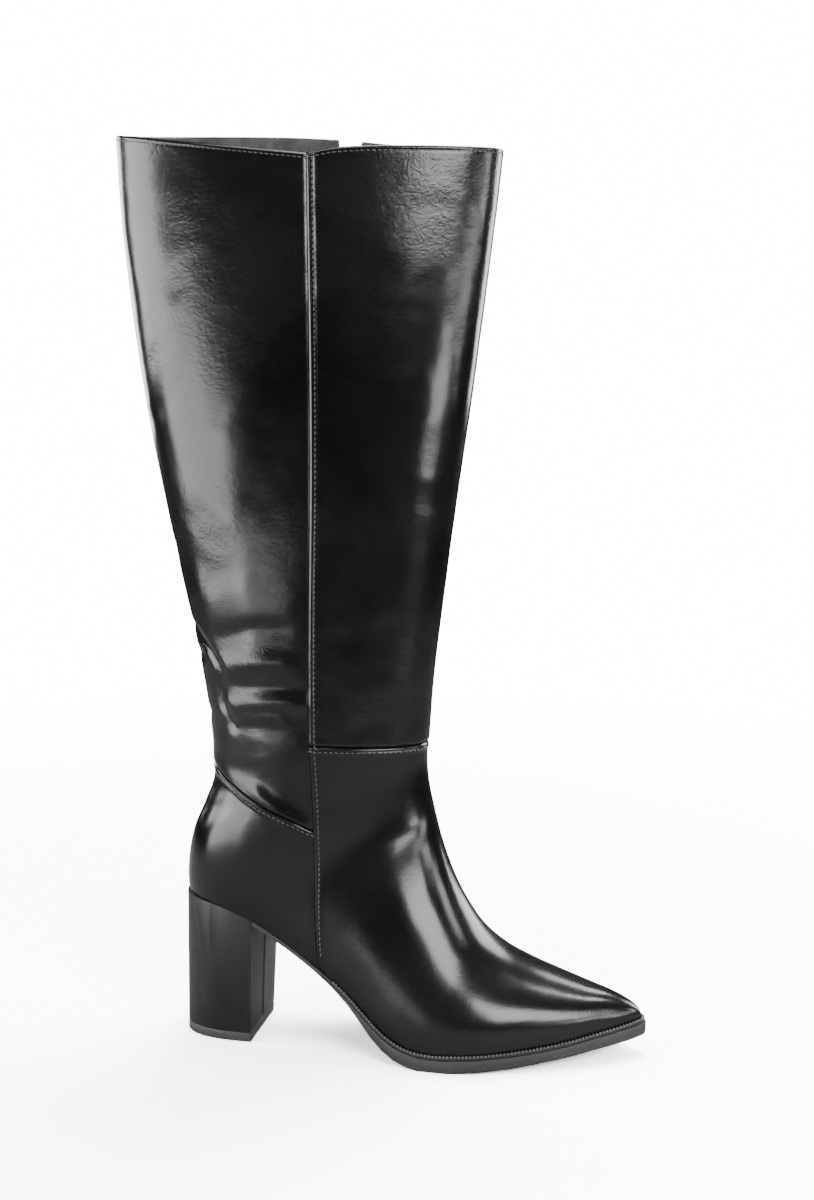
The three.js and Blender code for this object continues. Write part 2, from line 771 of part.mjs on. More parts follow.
function makeChain() {
  const outside = -wall + zipChainThickness;
  const below = uprightPrism([[-reach, -reach], [reach * 2, -reach], [reach * 2, reach], [-reach, reach]], -reach, chainTop);
  return shell(outside, -wall)
    .intersect(zipBand(-zipChainWidth / 2, zipChainWidth / 2, -zipChainInset))
    .intersect(below);
}

boot.add(toNode("zip_tape_front", makeTape(gap / 2, zipTapeWidth / 2), zipTape));
boot.add(toNode("zip_tape_rear", makeTape(-zipTapeWidth / 2, -gap / 2), zipTape));
boot.add(toNode("zip_chain", makeChain(), zipCoil));

// Slider at the closed end of the chain, and the tab that swings on its crown
function legPlace(height) {
  let low = 0;
  let high = legRows.length - 1;
  for (let step = 0; step < 40; step += 1) {
    const middle = (low + high) / 2;
    if (fieldCurves.frontZ(middle) > height) low = middle;
    else high = middle;
  }
  return low;
}

function medialSurface(x, height) {
  const section = sectionAt(legPlace(height));
  const share = (x - section.backX) / (section.frontX - section.backX);
  const towardFront = share > section.belly;
  const along = towardFront
    ? (share - section.belly) / (1 - section.belly)
    : (section.belly - share) / section.belly;
  const power = towardFront ? section.topPower : section.backPower;
  return section.medial * (1 - along ** power) ** (1 / power);
}

const zipCurve = curveThrough(zipLine.map(([x, z]) => [z, x]));
const sliderX = zipCurve(sliderZ);
const sliderBack = medialSurface(sliderX, sliderZ) - wall + sliderSeat;
const sliderFace = sliderBack + sliderThickness;
const crownRise = pullBar + gap * 2.5 + crownBar;
const pullAxisY = sliderFace + gap + pullBar / 2;
const pullAxisZ = sliderZ - crownSpan / 2 + crownBar + gap + pullBar / 2;

function placedOutline(points, x, z) {
  return points.map(([across, up]) => [x + across, z + up]);
}

function makeSlider() {
  const half = sliderWidth / 2;
  const tall = sliderHeight / 2;
  const plate = [
    [-half * 0.7, -tall], [half * 0.7, -tall], [half, tall * 0.15], [half, tall * 0.7],
    [half * 0.7, tall], [-half * 0.7, tall], [-half, tall * 0.7], [-half, tall * 0.15],
  ];
  const reachUp = crownSpan / 2;
  const corner = crownBar;
  const outer = [
    [-reachUp, -crownBar], [-reachUp, crownRise - corner], [-reachUp + corner, crownRise],
    [reachUp - corner, crownRise], [reachUp, crownRise - corner], [reachUp, -crownBar],
  ];
  const inner = [
    [reachUp - crownBar, -crownBar], [reachUp - crownBar, crownRise - crownBar],
    [-reachUp + crownBar, crownRise - crownBar], [-reachUp + crownBar, -crownBar],
  ];
  const crownGeometry = new THREE.ExtrudeGeometry(outlineShape([...outer, ...inner]), {
    depth: crownWidth,
    bevelEnabled: false,
  });
  const crownFrame = new THREE.Matrix4().makeBasis(
    new THREE.Vector3(0, 0, 1),
    new THREE.Vector3(0, 1, 0),
    new THREE.Vector3(-1, 0, 0),
  );
  crownGeometry.applyMatrix4(crownFrame);
  crownGeometry.translate(sliderX + crownWidth / 2, sliderFace, sliderZ);
  return crossPrism(placedOutline(plate, sliderX, sliderZ), sliderBack, sliderFace).add(toSolid(crownGeometry));
}

function makePull() {
  const half = pullWidth / 2;
  const eye = crownWidth / 2 + gap;
  const eyeEnd = -crownSpan + crownBar / 2;
  const tab = [
    [-half, 0], [-half, -pullLength * 0.45], [-half * 0.8, -pullLength * 0.92], [-half * 0.5, -pullLength],
    [half * 0.5, -pullLength], [half * 0.8, -pullLength * 0.92], [half, -pullLength * 0.45], [half, 0],
  ];
  const opening = [[-eye, eyeEnd], [eye, eyeEnd], [eye, 1], [-eye, 1]];
  const near = -pullThickness / 2;
  const plate = crossPrism(tab, near, -near).subtract(crossPrism(opening, -pullWidth, pullWidth));
  const bar = new THREE.CylinderGeometry(pullBar / 2, pullBar / 2, pullWidth, 12);
  bar.rotateZ(Math.PI / 2);
  return plate.add(toSolid(bar));
}

boot.add(toNode("zip_slider", makeSlider(), zipMetal));
const pull = toNode("zip_pull", makePull(), zipMetal);
pull.position.set(sliderX, pullAxisY, pullAxisZ);
boot.add(pull);

export default boot;
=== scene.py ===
# Dressing of a right knee-high boot in black polished leather, with its inner zip, welt and block heel.
# Sizes are in millimetres on the boot's own axes: x to the toe, y to the inner side, z up the leg.
import math
import bmesh
import bpy
import numpy as np
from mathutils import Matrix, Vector
from mathutils.bvhtree import BVHTree


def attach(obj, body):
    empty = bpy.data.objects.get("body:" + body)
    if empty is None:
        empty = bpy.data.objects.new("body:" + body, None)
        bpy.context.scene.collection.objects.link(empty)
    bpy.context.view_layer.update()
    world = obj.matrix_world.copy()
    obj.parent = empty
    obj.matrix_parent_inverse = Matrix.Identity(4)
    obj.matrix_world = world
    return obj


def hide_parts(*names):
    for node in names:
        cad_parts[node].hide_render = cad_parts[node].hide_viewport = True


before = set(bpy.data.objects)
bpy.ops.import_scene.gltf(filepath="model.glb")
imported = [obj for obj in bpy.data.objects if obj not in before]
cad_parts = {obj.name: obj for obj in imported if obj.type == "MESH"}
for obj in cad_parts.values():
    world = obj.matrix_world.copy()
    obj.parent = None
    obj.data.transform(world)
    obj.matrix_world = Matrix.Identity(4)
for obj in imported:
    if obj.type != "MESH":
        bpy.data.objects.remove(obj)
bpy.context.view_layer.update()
print("frame loaded", len(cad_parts), "nodes")

# Named sizes of the last and the leg, as in the solids
last = {
    "footLength": 239.5, "ballWidth": 82, "heelHeight": 77, "ankleRise": 83, "toeSpring": 11,
    "counterBack": -18.6, "toeTipShift": -0.7, "forefootSole": 8.7,
}
leg = {
    "ankleWidth": 62, "ankleDepth": 113, "shaftRise": 297, "shaftWidth": 76, "shaftDepth": 195,
    "frontReach": 36.6, "backRise": 6, "frontDrop": 2, "seamDip": 5.5, "medialRise": 3.5, "notchLength": 9,
    "roundness": (2.05, 2.1),
}
ankleHeight = last["heelHeight"] + last["ankleRise"]
collarHeight = ankleHeight + leg["shaftRise"]
ballHeight = last["forefootSole"] - 0.3


def alongFoot(share):
    return last["counterBack"] + share * last["footLength"]


def mix(low, high, share):
    return low + (high - low) * share


def smoothStep(share):
    held = np.clip(share, 0, 1)
    return held * held * (3 - 2 * held)


def curveThrough(points):
    places = np.array([p[0] for p in points], float)
    values = np.array([p[1] for p in points], float)
    before = np.maximum(np.arange(len(places)) - 1, 0)
    after = np.minimum(np.arange(len(places)) + 1, len(places) - 1)
    slopes = (values[after] - values[before]) / (places[after] - places[before])

    def read(place):
        place = np.asarray(place, float)
        index = np.clip(np.searchsorted(places, place) - 1, 0, len(places) - 2)
        span = places[index + 1] - places[index]
        t = np.clip((place - places[index]) / span, 0, 1)
        bend = (values[index + 1] - values[index]) * (3 - 2 * t) * t * t
        ease = (slopes[index] * (t - 1) ** 2 * t + slopes[index + 1] * (t - 1) * t * t) * span
        return values[index] + bend + ease

    return read


# Sole line: place along the foot, rise to the heel, toe spring
soleRows = [
    (-0.08, 1, 0), (0.005, 1, 0), (0.09, 0.965, 0), (0.171, 0.86, 0), (0.233, 0.73, 0), (0.3, 0.578, 0),
    (0.355, 0.442, 0), (0.395, 0.325, 0), (0.43, 0.208, 0), (0.468, 0.1, 0), (0.514, 0.024, 0),
    (0.565, 0, 0), (0.615, 0, 0.02), (0.68, 0, 0.08), (0.758, 0, 0.19), (0.836, 0, 0.37), (0.894, 0, 0.58),
    (0.957, 0, 0.83), (1.0, 0, 1), (1.06, 0, 1.24),
]
heelRiseAt = curveThrough([(row[0], row[1]) for row in soleRows])
springAt = curveThrough([(row[0], row[2]) for row in soleRows])


def featherHeight(x):
    share = (x - last["counterBack"]) / last["footLength"]
    rise = heelRiseAt(share) * (last["heelHeight"] - ballHeight)
    return ballHeight + rise + springAt(share) * last["toeSpring"]


# Sections of the leg: height, opening of the front, back and width, belly
legRows = [
    (1.08, 1.07, 1.02, 1.0, 0.47), (1.0, 1.0, 1.0, 1.0, 0.47),
    (0.88, 0.89, 0.955, 0.99, 0.47), (0.76, 0.768, 0.875, 0.95, 0.465),
    (0.64, 0.64, 0.775, 0.86, 0.46), (0.53, 0.515, 0.66, 0.72, 0.455),
    (0.42, 0.385, 0.52, 0.54, 0.45), (0.3, 0.255, 0.36, 0.33, 0.44),
    (0.19, 0.14, 0.2, 0.15, 0.43), (0.09, 0.05, 0.075, 0.04, 0.42),
    (0.0, 0.0, 0.0, 0.0, 0.42),
]
# Sections of the foot: front along and height, back along and level over the sole line,
# outer and inner width, ridge, belly, roundness of front and back
footRows = [
    (0.532, 0.963, 0.062, 0.76, 0.374, 0.374, 0.0, 0.41, 2.05, 2.1),
    (0.5315, 0.933, 0.042, 0.583, 0.374, 0.374, 0.0, 0.4, 2.05, 2.1),
    (0.5325, 0.904, 0.014, 0.386, 0.378, 0.378, 0.0, 0.38, 2.05, 2.1),
    (0.5345, 0.875, 0.0005, 0.169, 0.382, 0.38, 0.002, 0.36, 2.05, 2.1),
    (0.5375, 0.844, 0.004, -0.03, 0.382, 0.378, 0.004, 0.34, 2.05, 2.2),
    (0.542, 0.81, 0.032, -0.18, 0.378, 0.37, 0.006, 0.32, 2.05, 2.4),
    (0.5475, 0.775, 0.107, -0.21, 0.376, 0.36, 0.008, 0.3, 2.0, 2.8),
    (0.553, 0.738, 0.19, -0.17, 0.38, 0.348, 0.01, 0.29, 2.0, 3.2),
    (0.561, 0.69, 0.265, -0.145, 0.394, 0.337, 0.014, 0.28, 1.95, 3.6),
    (0.5735, 0.63, 0.336, -0.138, 0.42, 0.331, 0.018, 0.28, 1.9, 3.8),
    (0.5925, 0.553, 0.399, -0.138, 0.457, 0.343, 0.024, 0.28, 1.9, 4.0),
    (0.618, 0.475, 0.457, -0.138, 0.502, 0.372, 0.03, 0.29, 1.95, 4.0),
    (0.654, 0.393, 0.522, -0.136, 0.537, 0.41, 0.035, 0.3, 2.0, 4.0),
    (0.702, 0.329, 0.595, -0.136, 0.545, 0.444, 0.037, 0.32, 2.05, 4.0),
    (0.761, 0.28, 0.674, -0.132, 0.503, 0.452, 0.035, 0.34, 2.1, 4.0),
    (0.823, 0.2445, 0.755, -0.126, 0.412, 0.403, 0.028, 0.36, 2.15, 4.0),
    (0.879, 0.218, 0.831, -0.116, 0.313, 0.312, 0.018, 0.39, 2.2, 4.0),
    (0.927, 0.199, 0.895, -0.105, 0.216, 0.211, 0.006, 0.43, 2.2, 4.0),
    (0.965, 0.178, 0.943, -0.082, 0.14, 0.13, -0.003, 0.46, 2.2, 3.6),
    (0.989, 0.156, 0.973, -0.06, 0.082, 0.068, -0.007, 0.48, 2.2, 3.0),
    (1.0, 0.128, 0.99, -0.034, 0.036, 0.02, -0.009, 0.5, 2.2, 2.4),
]
ankleFront = alongFoot(0.533)
ankleBack = ankleFront - leg["ankleDepth"]
collarFront = ankleFront + leg["frontReach"]
collarBack = collarFront - leg["shaftDepth"]
fieldNames = [
    "frontX", "frontZ", "backX", "backZ", "outer", "inner", "ridge", "belly", "topPower", "backPower",
]


def legSection(row):
    height, frontOpen, backOpen, widthOpen, belly = row
    z = ankleHeight + height * leg["shaftRise"]
    half = mix(leg["ankleWidth"], leg["shaftWidth"], widthOpen) / 2
    front = mix(ankleFront, collarFront, frontOpen)
    back = mix(ankleBack, collarBack, backOpen)
    return (front, z, back, z, half, half, 0, belly, *leg["roundness"])


def footSection(row):
    frontAlong, frontHeight, backAlong, backLevel, outer, inner, ridge, belly, topPower, backPower = row
    backX = alongFoot(backAlong)
    backZ = float(featherHeight(backX)) + backLevel * last["ankleRise"]
    width = last["ballWidth"]
    return (
        alongFoot(frontAlong), frontHeight * ankleHeight, backX, backZ,
        outer * width, inner * width, ridge * width, belly, topPower, backPower,
    )


keySections = [legSection(row) for row in legRows] + [footSection(row) for row in footRows]
lastPlace = len(keySections) - 1
fieldCurves = {
    name: curveThrough([(i, section[k]) for i, section in enumerate(keySections)])
    for k, name in enumerate(fieldNames)
}


def formPoint(place, angle, offset=0.0):
    # x, y, z of the form; angle 0 is the front, a positive one turns over the outer side
    place = np.clip(place, 0, lastPlace)
    f = {name: curve(place) for name, curve in fieldCurves.items()}
    before = np.clip(place - 0.05, 0, lastPlace)
    after = np.clip(place + 0.05, 0, lastPlace)
    ends = {}
    for name, sign in (("front", 1), ("back", -1)):
        dx = fieldCurves[name + "X"](after) - fieldCurves[name + "X"](before)
        dz = fieldCurves[name + "Z"](after) - fieldCurves[name + "Z"](before)
        long = np.hypot(dx, dz)
        ends[name] = (f[name + "X"] - sign * dz / long * offset, f[name + "Z"] + sign * dx / long * offset)
    cosine, sine = np.cos(angle), np.sin(angle)
    power = np.where(cosine > 0, f["topPower"], f["backPower"])
    reach = (np.abs(sine) ** power + np.abs(cosine) ** power) ** (-1 / power)
    across = np.abs(sine) * reach
    along = np.abs(cosine) * reach
    share = np.where(cosine > 0, f["belly"] + (1 - f["belly"]) * along, f["belly"] * (1 - along))
    centre = f["ridge"] * smoothStep(share) + last["toeTipShift"] * (place / lastPlace) ** 8
    outer = np.maximum(f["outer"] + offset, f["outer"] * 0.3)
    inner = np.maximum(f["inner"] + offset, f["inner"] * 0.3)
    edge = np.where(sine > 0, -outer, inner)
    x = mix(ends["back"][0], ends["front"][0], share)
    y = centre + (edge - centre) * across
    z = mix(ends["back"][1], ends["front"][1], share)
    return x, y, z


# Seam lines, as in the solids
counterShare = curveThrough([
    (-0.1, 1.0), (0.063, 0.835), (0.11, 0.76), (0.157, 0.68), (0.21, 0.606), (0.262, 0.543),
    (0.31, 0.478), (0.4, 0.4),
])
seamRows = [
    (-0.6, 0.335), (-0.45, 0.33), (-0.25, 0.322), (-0.02, 0.318), (0.3, 0.316), (0.6, 0.313),
    (1.0, 0.308), (1.7, 0.31), (2.6, 0.318), (3.4, 0.321), (4.7, 0.319), (5.4, 0.319),
]
seamX = curveThrough([(last["heelHeight"] + h * last["ankleRise"], alongFoot(a)) for h, a in seamRows])
sideSeamX = float(seamX(last["heelHeight"] + 0.5 * last["ankleRise"]))
seamLap = {"front": 1.6, "rear": 1.1}
zipSlot = {"footRise": 19, "tail": 45, "half": 6.0, "below": 10.0, "taper": 36.0}
zipRows = [
    (0.388, 0.0), (0.373, 0.28), (0.358, 0.55), (0.345, 0.82), (0.337, 1.05), (0.332, 1.35),
    (0.332, 1.75), (0.336, 2.2), (0.338, 3.2), (0.337, 4.2), (0.335, 5.3),
]
zipFoot = float(featherHeight(alongFoot(zipRows[0][0]))) + zipSlot["footRise"]
zipPoints = [(zipFoot + h * last["ankleRise"], alongFoot(a)) for a, h in zipRows]
zipLean = (zipPoints[1][1] - zipPoints[0][1]) / (zipPoints[1][0] - zipPoints[0][0])
zipTail = (zipFoot - zipSlot["tail"], zipPoints[0][1] - zipSlot["tail"] * zipLean)
zipX = curveThrough([zipTail] + zipPoints)


def zipOffset(z, side):
    # Half the zip's opening, which narrows to a point at its foot
    return side * zipSlot["half"] * smoothStep((z - zipFoot + zipSlot["below"]) / zipSlot["taper"])


def ankleSeam(x):
    share = np.minimum((x - sideSeamX) / (ankleFront - sideSeamX), 1.2)
    return mix(ankleHeight + 0.8, ankleHeight - 0.5, share)


def counterSeam(x):
    share = (x - last["counterBack"]) / last["footLength"]
    return last["heelHeight"] + counterShare(share) * last["ankleRise"]


def collarRim(x, y):
    seam = float(seamX(collarHeight))
    back = collarHeight + leg["backRise"]
    front = collarHeight - leg["frontDrop"]
    dip = collarHeight - leg["seamDip"]
    toSeam = np.maximum((x - collarBack) / (seam - collarBack), 0)
    notch = np.exp(-np.maximum(x - seam, 0) / leg["notchLength"])
    outer = np.where(x < seam, mix(back, dip, toSeam), mix(front, dip, notch))
    across = smoothStep((x - collarBack) / leg["shaftDepth"])
    inner = mix(back + leg["medialRise"], front, across ** 2.8)
    return mix(outer, inner, smoothStep((y + leg["shaftWidth"] / 2) / leg["shaftWidth"]))


# One dense sampling of the form, used to find where lines cross it
placeTable = np.linspace(0, lastPlace, 1241)
angleTable = np.linspace(-math.pi, math.pi, 721)
placeGrid, angleGrid = np.meshgrid(placeTable, angleTable, indexing="ij")
sampled = {}


def sampleForm(offset):
    if offset not in sampled:
        sampled[offset] = formPoint(placeGrid, angleGrid, offset)
    return sampled[offset]


def firstCrossing(values, steps):
    # Where each row of values first turns from positive to negative, or nan
    turn = (values[:, :-1] > 0) & (values[:, 1:] <= 0)
    found = turn.any(axis=1)
    index = turn.argmax(axis=1)
    rows = np.arange(len(values))
    low, high = values[rows, index], values[rows, index + 1]
    share = np.where(found, low / np.where(low == high, 1, low - high), 0)
    return np.where(found, steps[index] + share * (steps[index + 1] - steps[index]), np.nan)


def placeOf(test, offset):
    # For every angle, the place down the form where the test turns negative
    x, y, z = sampleForm(offset)
    crossing = firstCrossing(test(x, y, z).T, placeTable)
    return lambda angle: np.interp((angle + math.pi) % (2 * math.pi) - math.pi, angleTable, crossing)


def angleOf(test, side, offset):
    # For every place, the angle round one side where the test turns negative, going from front to back
    x, y, z = sampleForm(offset)
    values = test(x, y, z)
    half = len(angleTable) // 2
    values = values[:, half:] if side > 0 else values[:, :half + 1][:, ::-1]
    crossing = firstCrossing(values, angleTable[half:])
    known = ~np.isnan(crossing)
    return lambda place: side * np.interp(place, placeTable[known], crossing[known])


def fullTurn(bound):
    # The same bound, counted on past the back of the boot
    return lambda place: bound(place) + 2 * math.pi


def edgeTests(offset):
    # The places and angles that bound the panels, for one offset of the form
    return {
        "rim": placeOf(lambda x, y, z: z - collarRim(x, y), offset),
        "ankle": placeOf(lambda x, y, z: z - ankleSeam(x), offset),
        "counter": placeOf(lambda x, y, z: z - counterSeam(x), offset),
        "feather": placeOf(lambda x, y, z: z - featherHeight(x), offset),
        "seamFront": angleOf(lambda x, y, z: x - seamX(z) + seamLap["front"], 1, offset),
        "seamRear": angleOf(lambda x, y, z: x - seamX(z) + seamLap["rear"], 1, offset),
        "zipFront": angleOf(lambda x, y, z: x - zipX(z) - zipOffset(z, 1), -1, offset),
        "zipRear": angleOf(lambda x, y, z: x - zipX(z) - zipOffset(z, -1), -1, offset),
        "featherOuter": angleOf(lambda x, y, z: z - featherHeight(x), 1, offset),
        "featherInner": angleOf(lambda x, y, z: z - featherHeight(x), -1, offset),
    }


solver = {"lowPlace": 20.0, "turns": 14}


def solveGrid(s, t, left, right, top, bottom, offset):
    # Points of a four-sided panel: s runs from left to right, t from top to bottom
    place = mix(top(np.zeros_like(s)), solver["lowPlace"], t)
    for turn in range(solver["turns"]):
        angle = mix(left(place), right(place), s)
        place = mix(top(angle), bottom(angle), t)
    return np.stack(formPoint(place, angle, offset), axis=-1), place, angle


def spreadSteps(length, steps, middle):
    # Distances along a length, close together at both edges
    scale = np.minimum(1, length / (4 * steps[-1]))[..., None]
    near = np.array(steps) * scale
    far = length[..., None] - near[..., ::-1]
    inside = np.linspace(0, 1, middle + 2)[1:-1]
    centre = near[..., -1:] + (far[..., :1] - near[..., -1:]) * inside
    return np.concatenate([near, centre, far], axis=-1)


def runLengths(points, axis):
    step = np.linalg.norm(np.diff(points, axis=axis), axis=-1)
    total = np.cumsum(step, axis=axis)
    start = np.zeros_like(np.take(total, [0], axis=axis))
    return np.concatenate([start, total], axis=axis)


edgeSteps = [0, 0.3, 0.6, 0.9, 1.25, 1.6, 1.95, 2.3, 2.65, 3.0, 3.4, 3.9, 4.6, 5.6, 7.0, 9.0]


def panelPoints(bounds, offset, across, down, ends=None):
    # A panel's points with rows close together along its four edges
    coarseS = np.linspace(0, 1, 61)
    coarseT = np.linspace(0, 1, 121)
    s, t = np.meshgrid(coarseS, coarseT)
    points = solveGrid(s, t, *bounds, offset)[0]
    rowRuns, columnRuns = runLengths(points, 1), runLengths(points, 0)
    meanColumn = columnRuns.mean(axis=1)
    tList = np.interp(spreadSteps(np.array([meanColumn[-1]]), edgeSteps, down)[0], meanColumn, coarseT)
    if ends is not None:
        tList = np.sort(np.concatenate([tList, ends]))
    sRows = []
    for value in tList:
        run = np.array([np.interp(value, coarseT, rowRuns[:, k]) for k in range(len(coarseS))])
        steps = spreadSteps(np.array([run[-1]]), edgeSteps, across)[0]
        sRows.append(np.interp(steps, run, coarseS))
    s = np.array(sRows)
    t = np.repeat(tList[:, None], s.shape[1], axis=1)
    return solveGrid(s, t, *bounds, offset)


def resampled(curve, offset):
    # A line of places and angles as a function of its share of length
    points = np.stack(formPoint(curve[:, 0], curve[:, 1], offset), axis=-1)
    run = runLengths(points, 0)
    run = run / run[-1]
    return lambda share: np.stack([np.interp(share, run, curve[:, k]) for k in (0, 1)], axis=-1)


def patchPoints(left, right, top, bottom, offset, across, down):
    # A panel whose four edges are lines of places and angles that meet at its corners
    edges = [resampled(curve, offset) for curve in (left, right, top, bottom)]

    def solve(s, t):
        s3, t3 = s[..., None], t[..., None]
        sides = mix(edges[0](t), edges[1](t), s3) + mix(edges[2](s), edges[3](s), t3)
        corners = mix(mix(left[0], right[0], s3), mix(left[-1], right[-1], s3), t3)
        at = sides - corners
        return np.stack(formPoint(at[..., 0], at[..., 1], offset), axis=-1), at[..., 0], at[..., 1]

    coarse = np.linspace(0, 1, 81)
    s, t = np.meshgrid(coarse, coarse)
    points = solve(s, t)[0]
    rowRuns, columnRuns = runLengths(points, 1), runLengths(points, 0)
    columns = []
    for run in columnRuns.T:
        columns.append(np.interp(spreadSteps(np.array([run[-1]]), edgeSteps, down)[0], run, coarse))
    tGrid = np.array(columns).T
    rows = []
    for j in range(tGrid.shape[0]):
        run = np.array([np.interp(tGrid[j].mean(), coarse, rowRuns[:, k]) for k in range(len(coarse))])
        rows.append(np.interp(spreadSteps(np.array([run[-1]]), edgeSteps, across)[0], run, coarse))
    sGrid = np.array(rows)
    tFine = np.stack([np.interp(sGrid[j], coarse, tGrid[j]) for j in range(len(sGrid))])
    return solve(sGrid, tFine)


def normalsOf(points, outwardFrom):
    # Unit normals of a grid of points, turned away from a middle line
    down = np.gradient(points, axis=0)
    over = np.gradient(points, axis=1)
    normal = np.cross(over, down)
    size = np.linalg.norm(normal, axis=-1, keepdims=True)
    normal = normal / np.maximum(size, 1e-9)
    facing = np.sum(normal * (points - outwardFrom), axis=-1)
    return normal * (1 if np.median(facing) > 0 else -1)


def addObject(name, data):
    added = bpy.data.objects.new(name, data)
    bpy.context.scene.collection.objects.link(added)
    return added


def gridMesh(name, points, finish, cadNodes=(), thickness=0.0, weld=0.00002):
    # A grid warped onto the points, given a wall, smooth and riding on its body
    rows, columns = points.shape[:2]
    bm = bmesh.new()
    bmesh.ops.create_grid(bm, x_segments=columns - 1, y_segments=rows - 1, size=0.5)
    for vert in bm.verts:
        column = round((vert.co.x + 0.5) * (columns - 1))
        row = round((vert.co.y + 0.5) * (rows - 1))
        vert.co = Vector(points[row, column]) / 1000
    bmesh.ops.remove_doubles(bm, verts=bm.verts, dist=weld)
    bm.normal_update()
    return finishMesh(name, bm, finish, cadNodes, thickness)


def finishMesh(name, bm, finish, cadNodes=(), thickness=0.0, body="boot"):
    mesh = bpy.data.meshes.new(name)
    bm.to_mesh(mesh)
    bm.free()
    mesh.materials.append(materials[finish])
    mesh.polygons.foreach_set("use_smooth", [True] * len(mesh.polygons))
    piece = addObject(name, mesh)
    if thickness:
        wall = piece.modifiers.new("wall", "SOLIDIFY")
        wall.thickness = thickness / 1000
        wall.offset = -1
    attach(piece, body)
    if cadNodes:
        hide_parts(*cadNodes)
    return piece


# Materials

def newGroup(name, inputs):
    group = bpy.data.node_groups.new(name, "ShaderNodeTree")
    for label, value in inputs.items():
        socket = group.interface.new_socket(name=label, in_out="INPUT", socket_type="NodeSocketFloat")
        socket.default_value = value
    for label in ("Height", "Patches"):
        group.interface.new_socket(name=label, in_out="OUTPUT", socket_type="NodeSocketFloat")
    return group


def addNode(nodes, kind, values=None):
    node = nodes.new("ShaderNode" + kind)
    for label, value in (values or {}).items():
        node.inputs[label].default_value = value
    return node


def addMath(group, operation, first, second):
    node = addNode(group.nodes, "Math")
    node.operation = operation
    for socket, value in zip(node.inputs, (first, second)):
        if isinstance(value, float):
            socket.default_value = value
        else:
            group.links.new(value, socket)
    return node.outputs[0]


# Height over the floor in metres where the ankle is worn, and how far the wear reaches up and down
ankleWear = {"height": 0.192, "full": 0.012, "none": 0.04, "most": 0.9}


def makeGrainGroup():
    # Heights are in millimetres: fine grain and pores, crinkles in patches, and the broad hand of the hide
    start = {"Scale": 900.0, "Grain": 0.01, "Pores": 0.01, "Crinkle": 0.05, "Broad": 0.3}
    group = newGroup("leatherGrain", start)
    nodes, links = group.nodes, group.links
    inputs, outputs = nodes.new("NodeGroupInput"), nodes.new("NodeGroupOutput")
    place = addNode(nodes, "TexCoord").outputs["Object"]
    pores = addNode(nodes, "TexVoronoi")
    fine = addNode(nodes, "TexNoise", {"Detail": 3.0, "Distortion": 0.0})
    crinkle = addNode(nodes, "TexNoise", {"Scale": 270.0, "Detail": 5.0, "Distortion": 1.4})
    broad = addNode(nodes, "TexNoise", {"Scale": 22.0, "Detail": 2.0, "Distortion": 0.3})
    patches = addNode(nodes, "TexNoise", {"Scale": 13.0, "Detail": 4.0, "Distortion": 0.5})
    for node in (pores, fine, crinkle, broad, patches):
        links.new(place, node.inputs["Vector"])
    for node in (pores, fine):
        links.new(inputs.outputs["Scale"], node.inputs["Scale"])
    mask = addNode(nodes, "MapRange", {"From Min": 0.42, "From Max": 0.62})
    links.new(patches.outputs["Fac"], mask.inputs["Value"])
    heights = addNode(nodes, "SeparateXYZ")
    links.new(place, heights.inputs["Vector"])
    above = addMath(group, "SUBTRACT", heights.outputs["Z"], ankleWear["height"])
    worn = addNode(nodes, "MapRange", {
        "From Min": ankleWear["full"], "From Max": ankleWear["none"],
        "To Min": ankleWear["most"], "To Max": 0.0,
    })
    worn.interpolation_type = "SMOOTHSTEP"
    links.new(addMath(group, "ABSOLUTE", above, 0.0), worn.inputs["Value"])
    used = addMath(group, "MAXIMUM", mask.outputs["Result"], worn.outputs["Result"])
    crinkled = addMath(group, "MULTIPLY", crinkle.outputs["Fac"], inputs.outputs["Crinkle"])
    total = addMath(group, "MULTIPLY", fine.outputs["Fac"], inputs.outputs["Grain"])
    for part in (
        addMath(group, "MULTIPLY", pores.outputs["Distance"], inputs.outputs["Pores"]),
        addMath(group, "MULTIPLY", broad.outputs["Fac"], inputs.outputs["Broad"]),
        addMath(group, "MULTIPLY", crinkled, used),
    ):
        total = addMath(group, "ADD", total, part)
    links.new(total, outputs.inputs["Height"])
    links.new(patches.outputs["Fac"], outputs.inputs["Patches"])
    return group


def makeWeaveGroup():
    group = newGroup("clothWeave", {"Scale": 1500.0})
    nodes, links = group.nodes, group.links
    inputs, outputs = nodes.new("NodeGroupInput"), nodes.new("NodeGroupOutput")
    place = addNode(nodes, "TexCoord").outputs["Object"]
    waves = []
    for direction in ("X", "Z"):
        wave = addNode(nodes, "TexWave", {"Distortion": 0.6})
        wave.bands_direction = direction
        links.new(place, wave.inputs["Vector"])
        links.new(inputs.outputs["Scale"], wave.inputs["Scale"])
        waves.append(wave.outputs["Fac"])
    patches = addNode(nodes, "TexNoise", {"Scale": 160.0})
    links.new(place, patches.inputs["Vector"])
    links.new(addMath(group, "MULTIPLY", *waves), outputs.inputs["Height"])
    links.new(patches.outputs["Fac"], outputs.inputs["Patches"])
    return group


grainGroup = makeGrainGroup()
weaveGroup = makeWeaveGroup()
patchSpan = (0.35, 0.65)


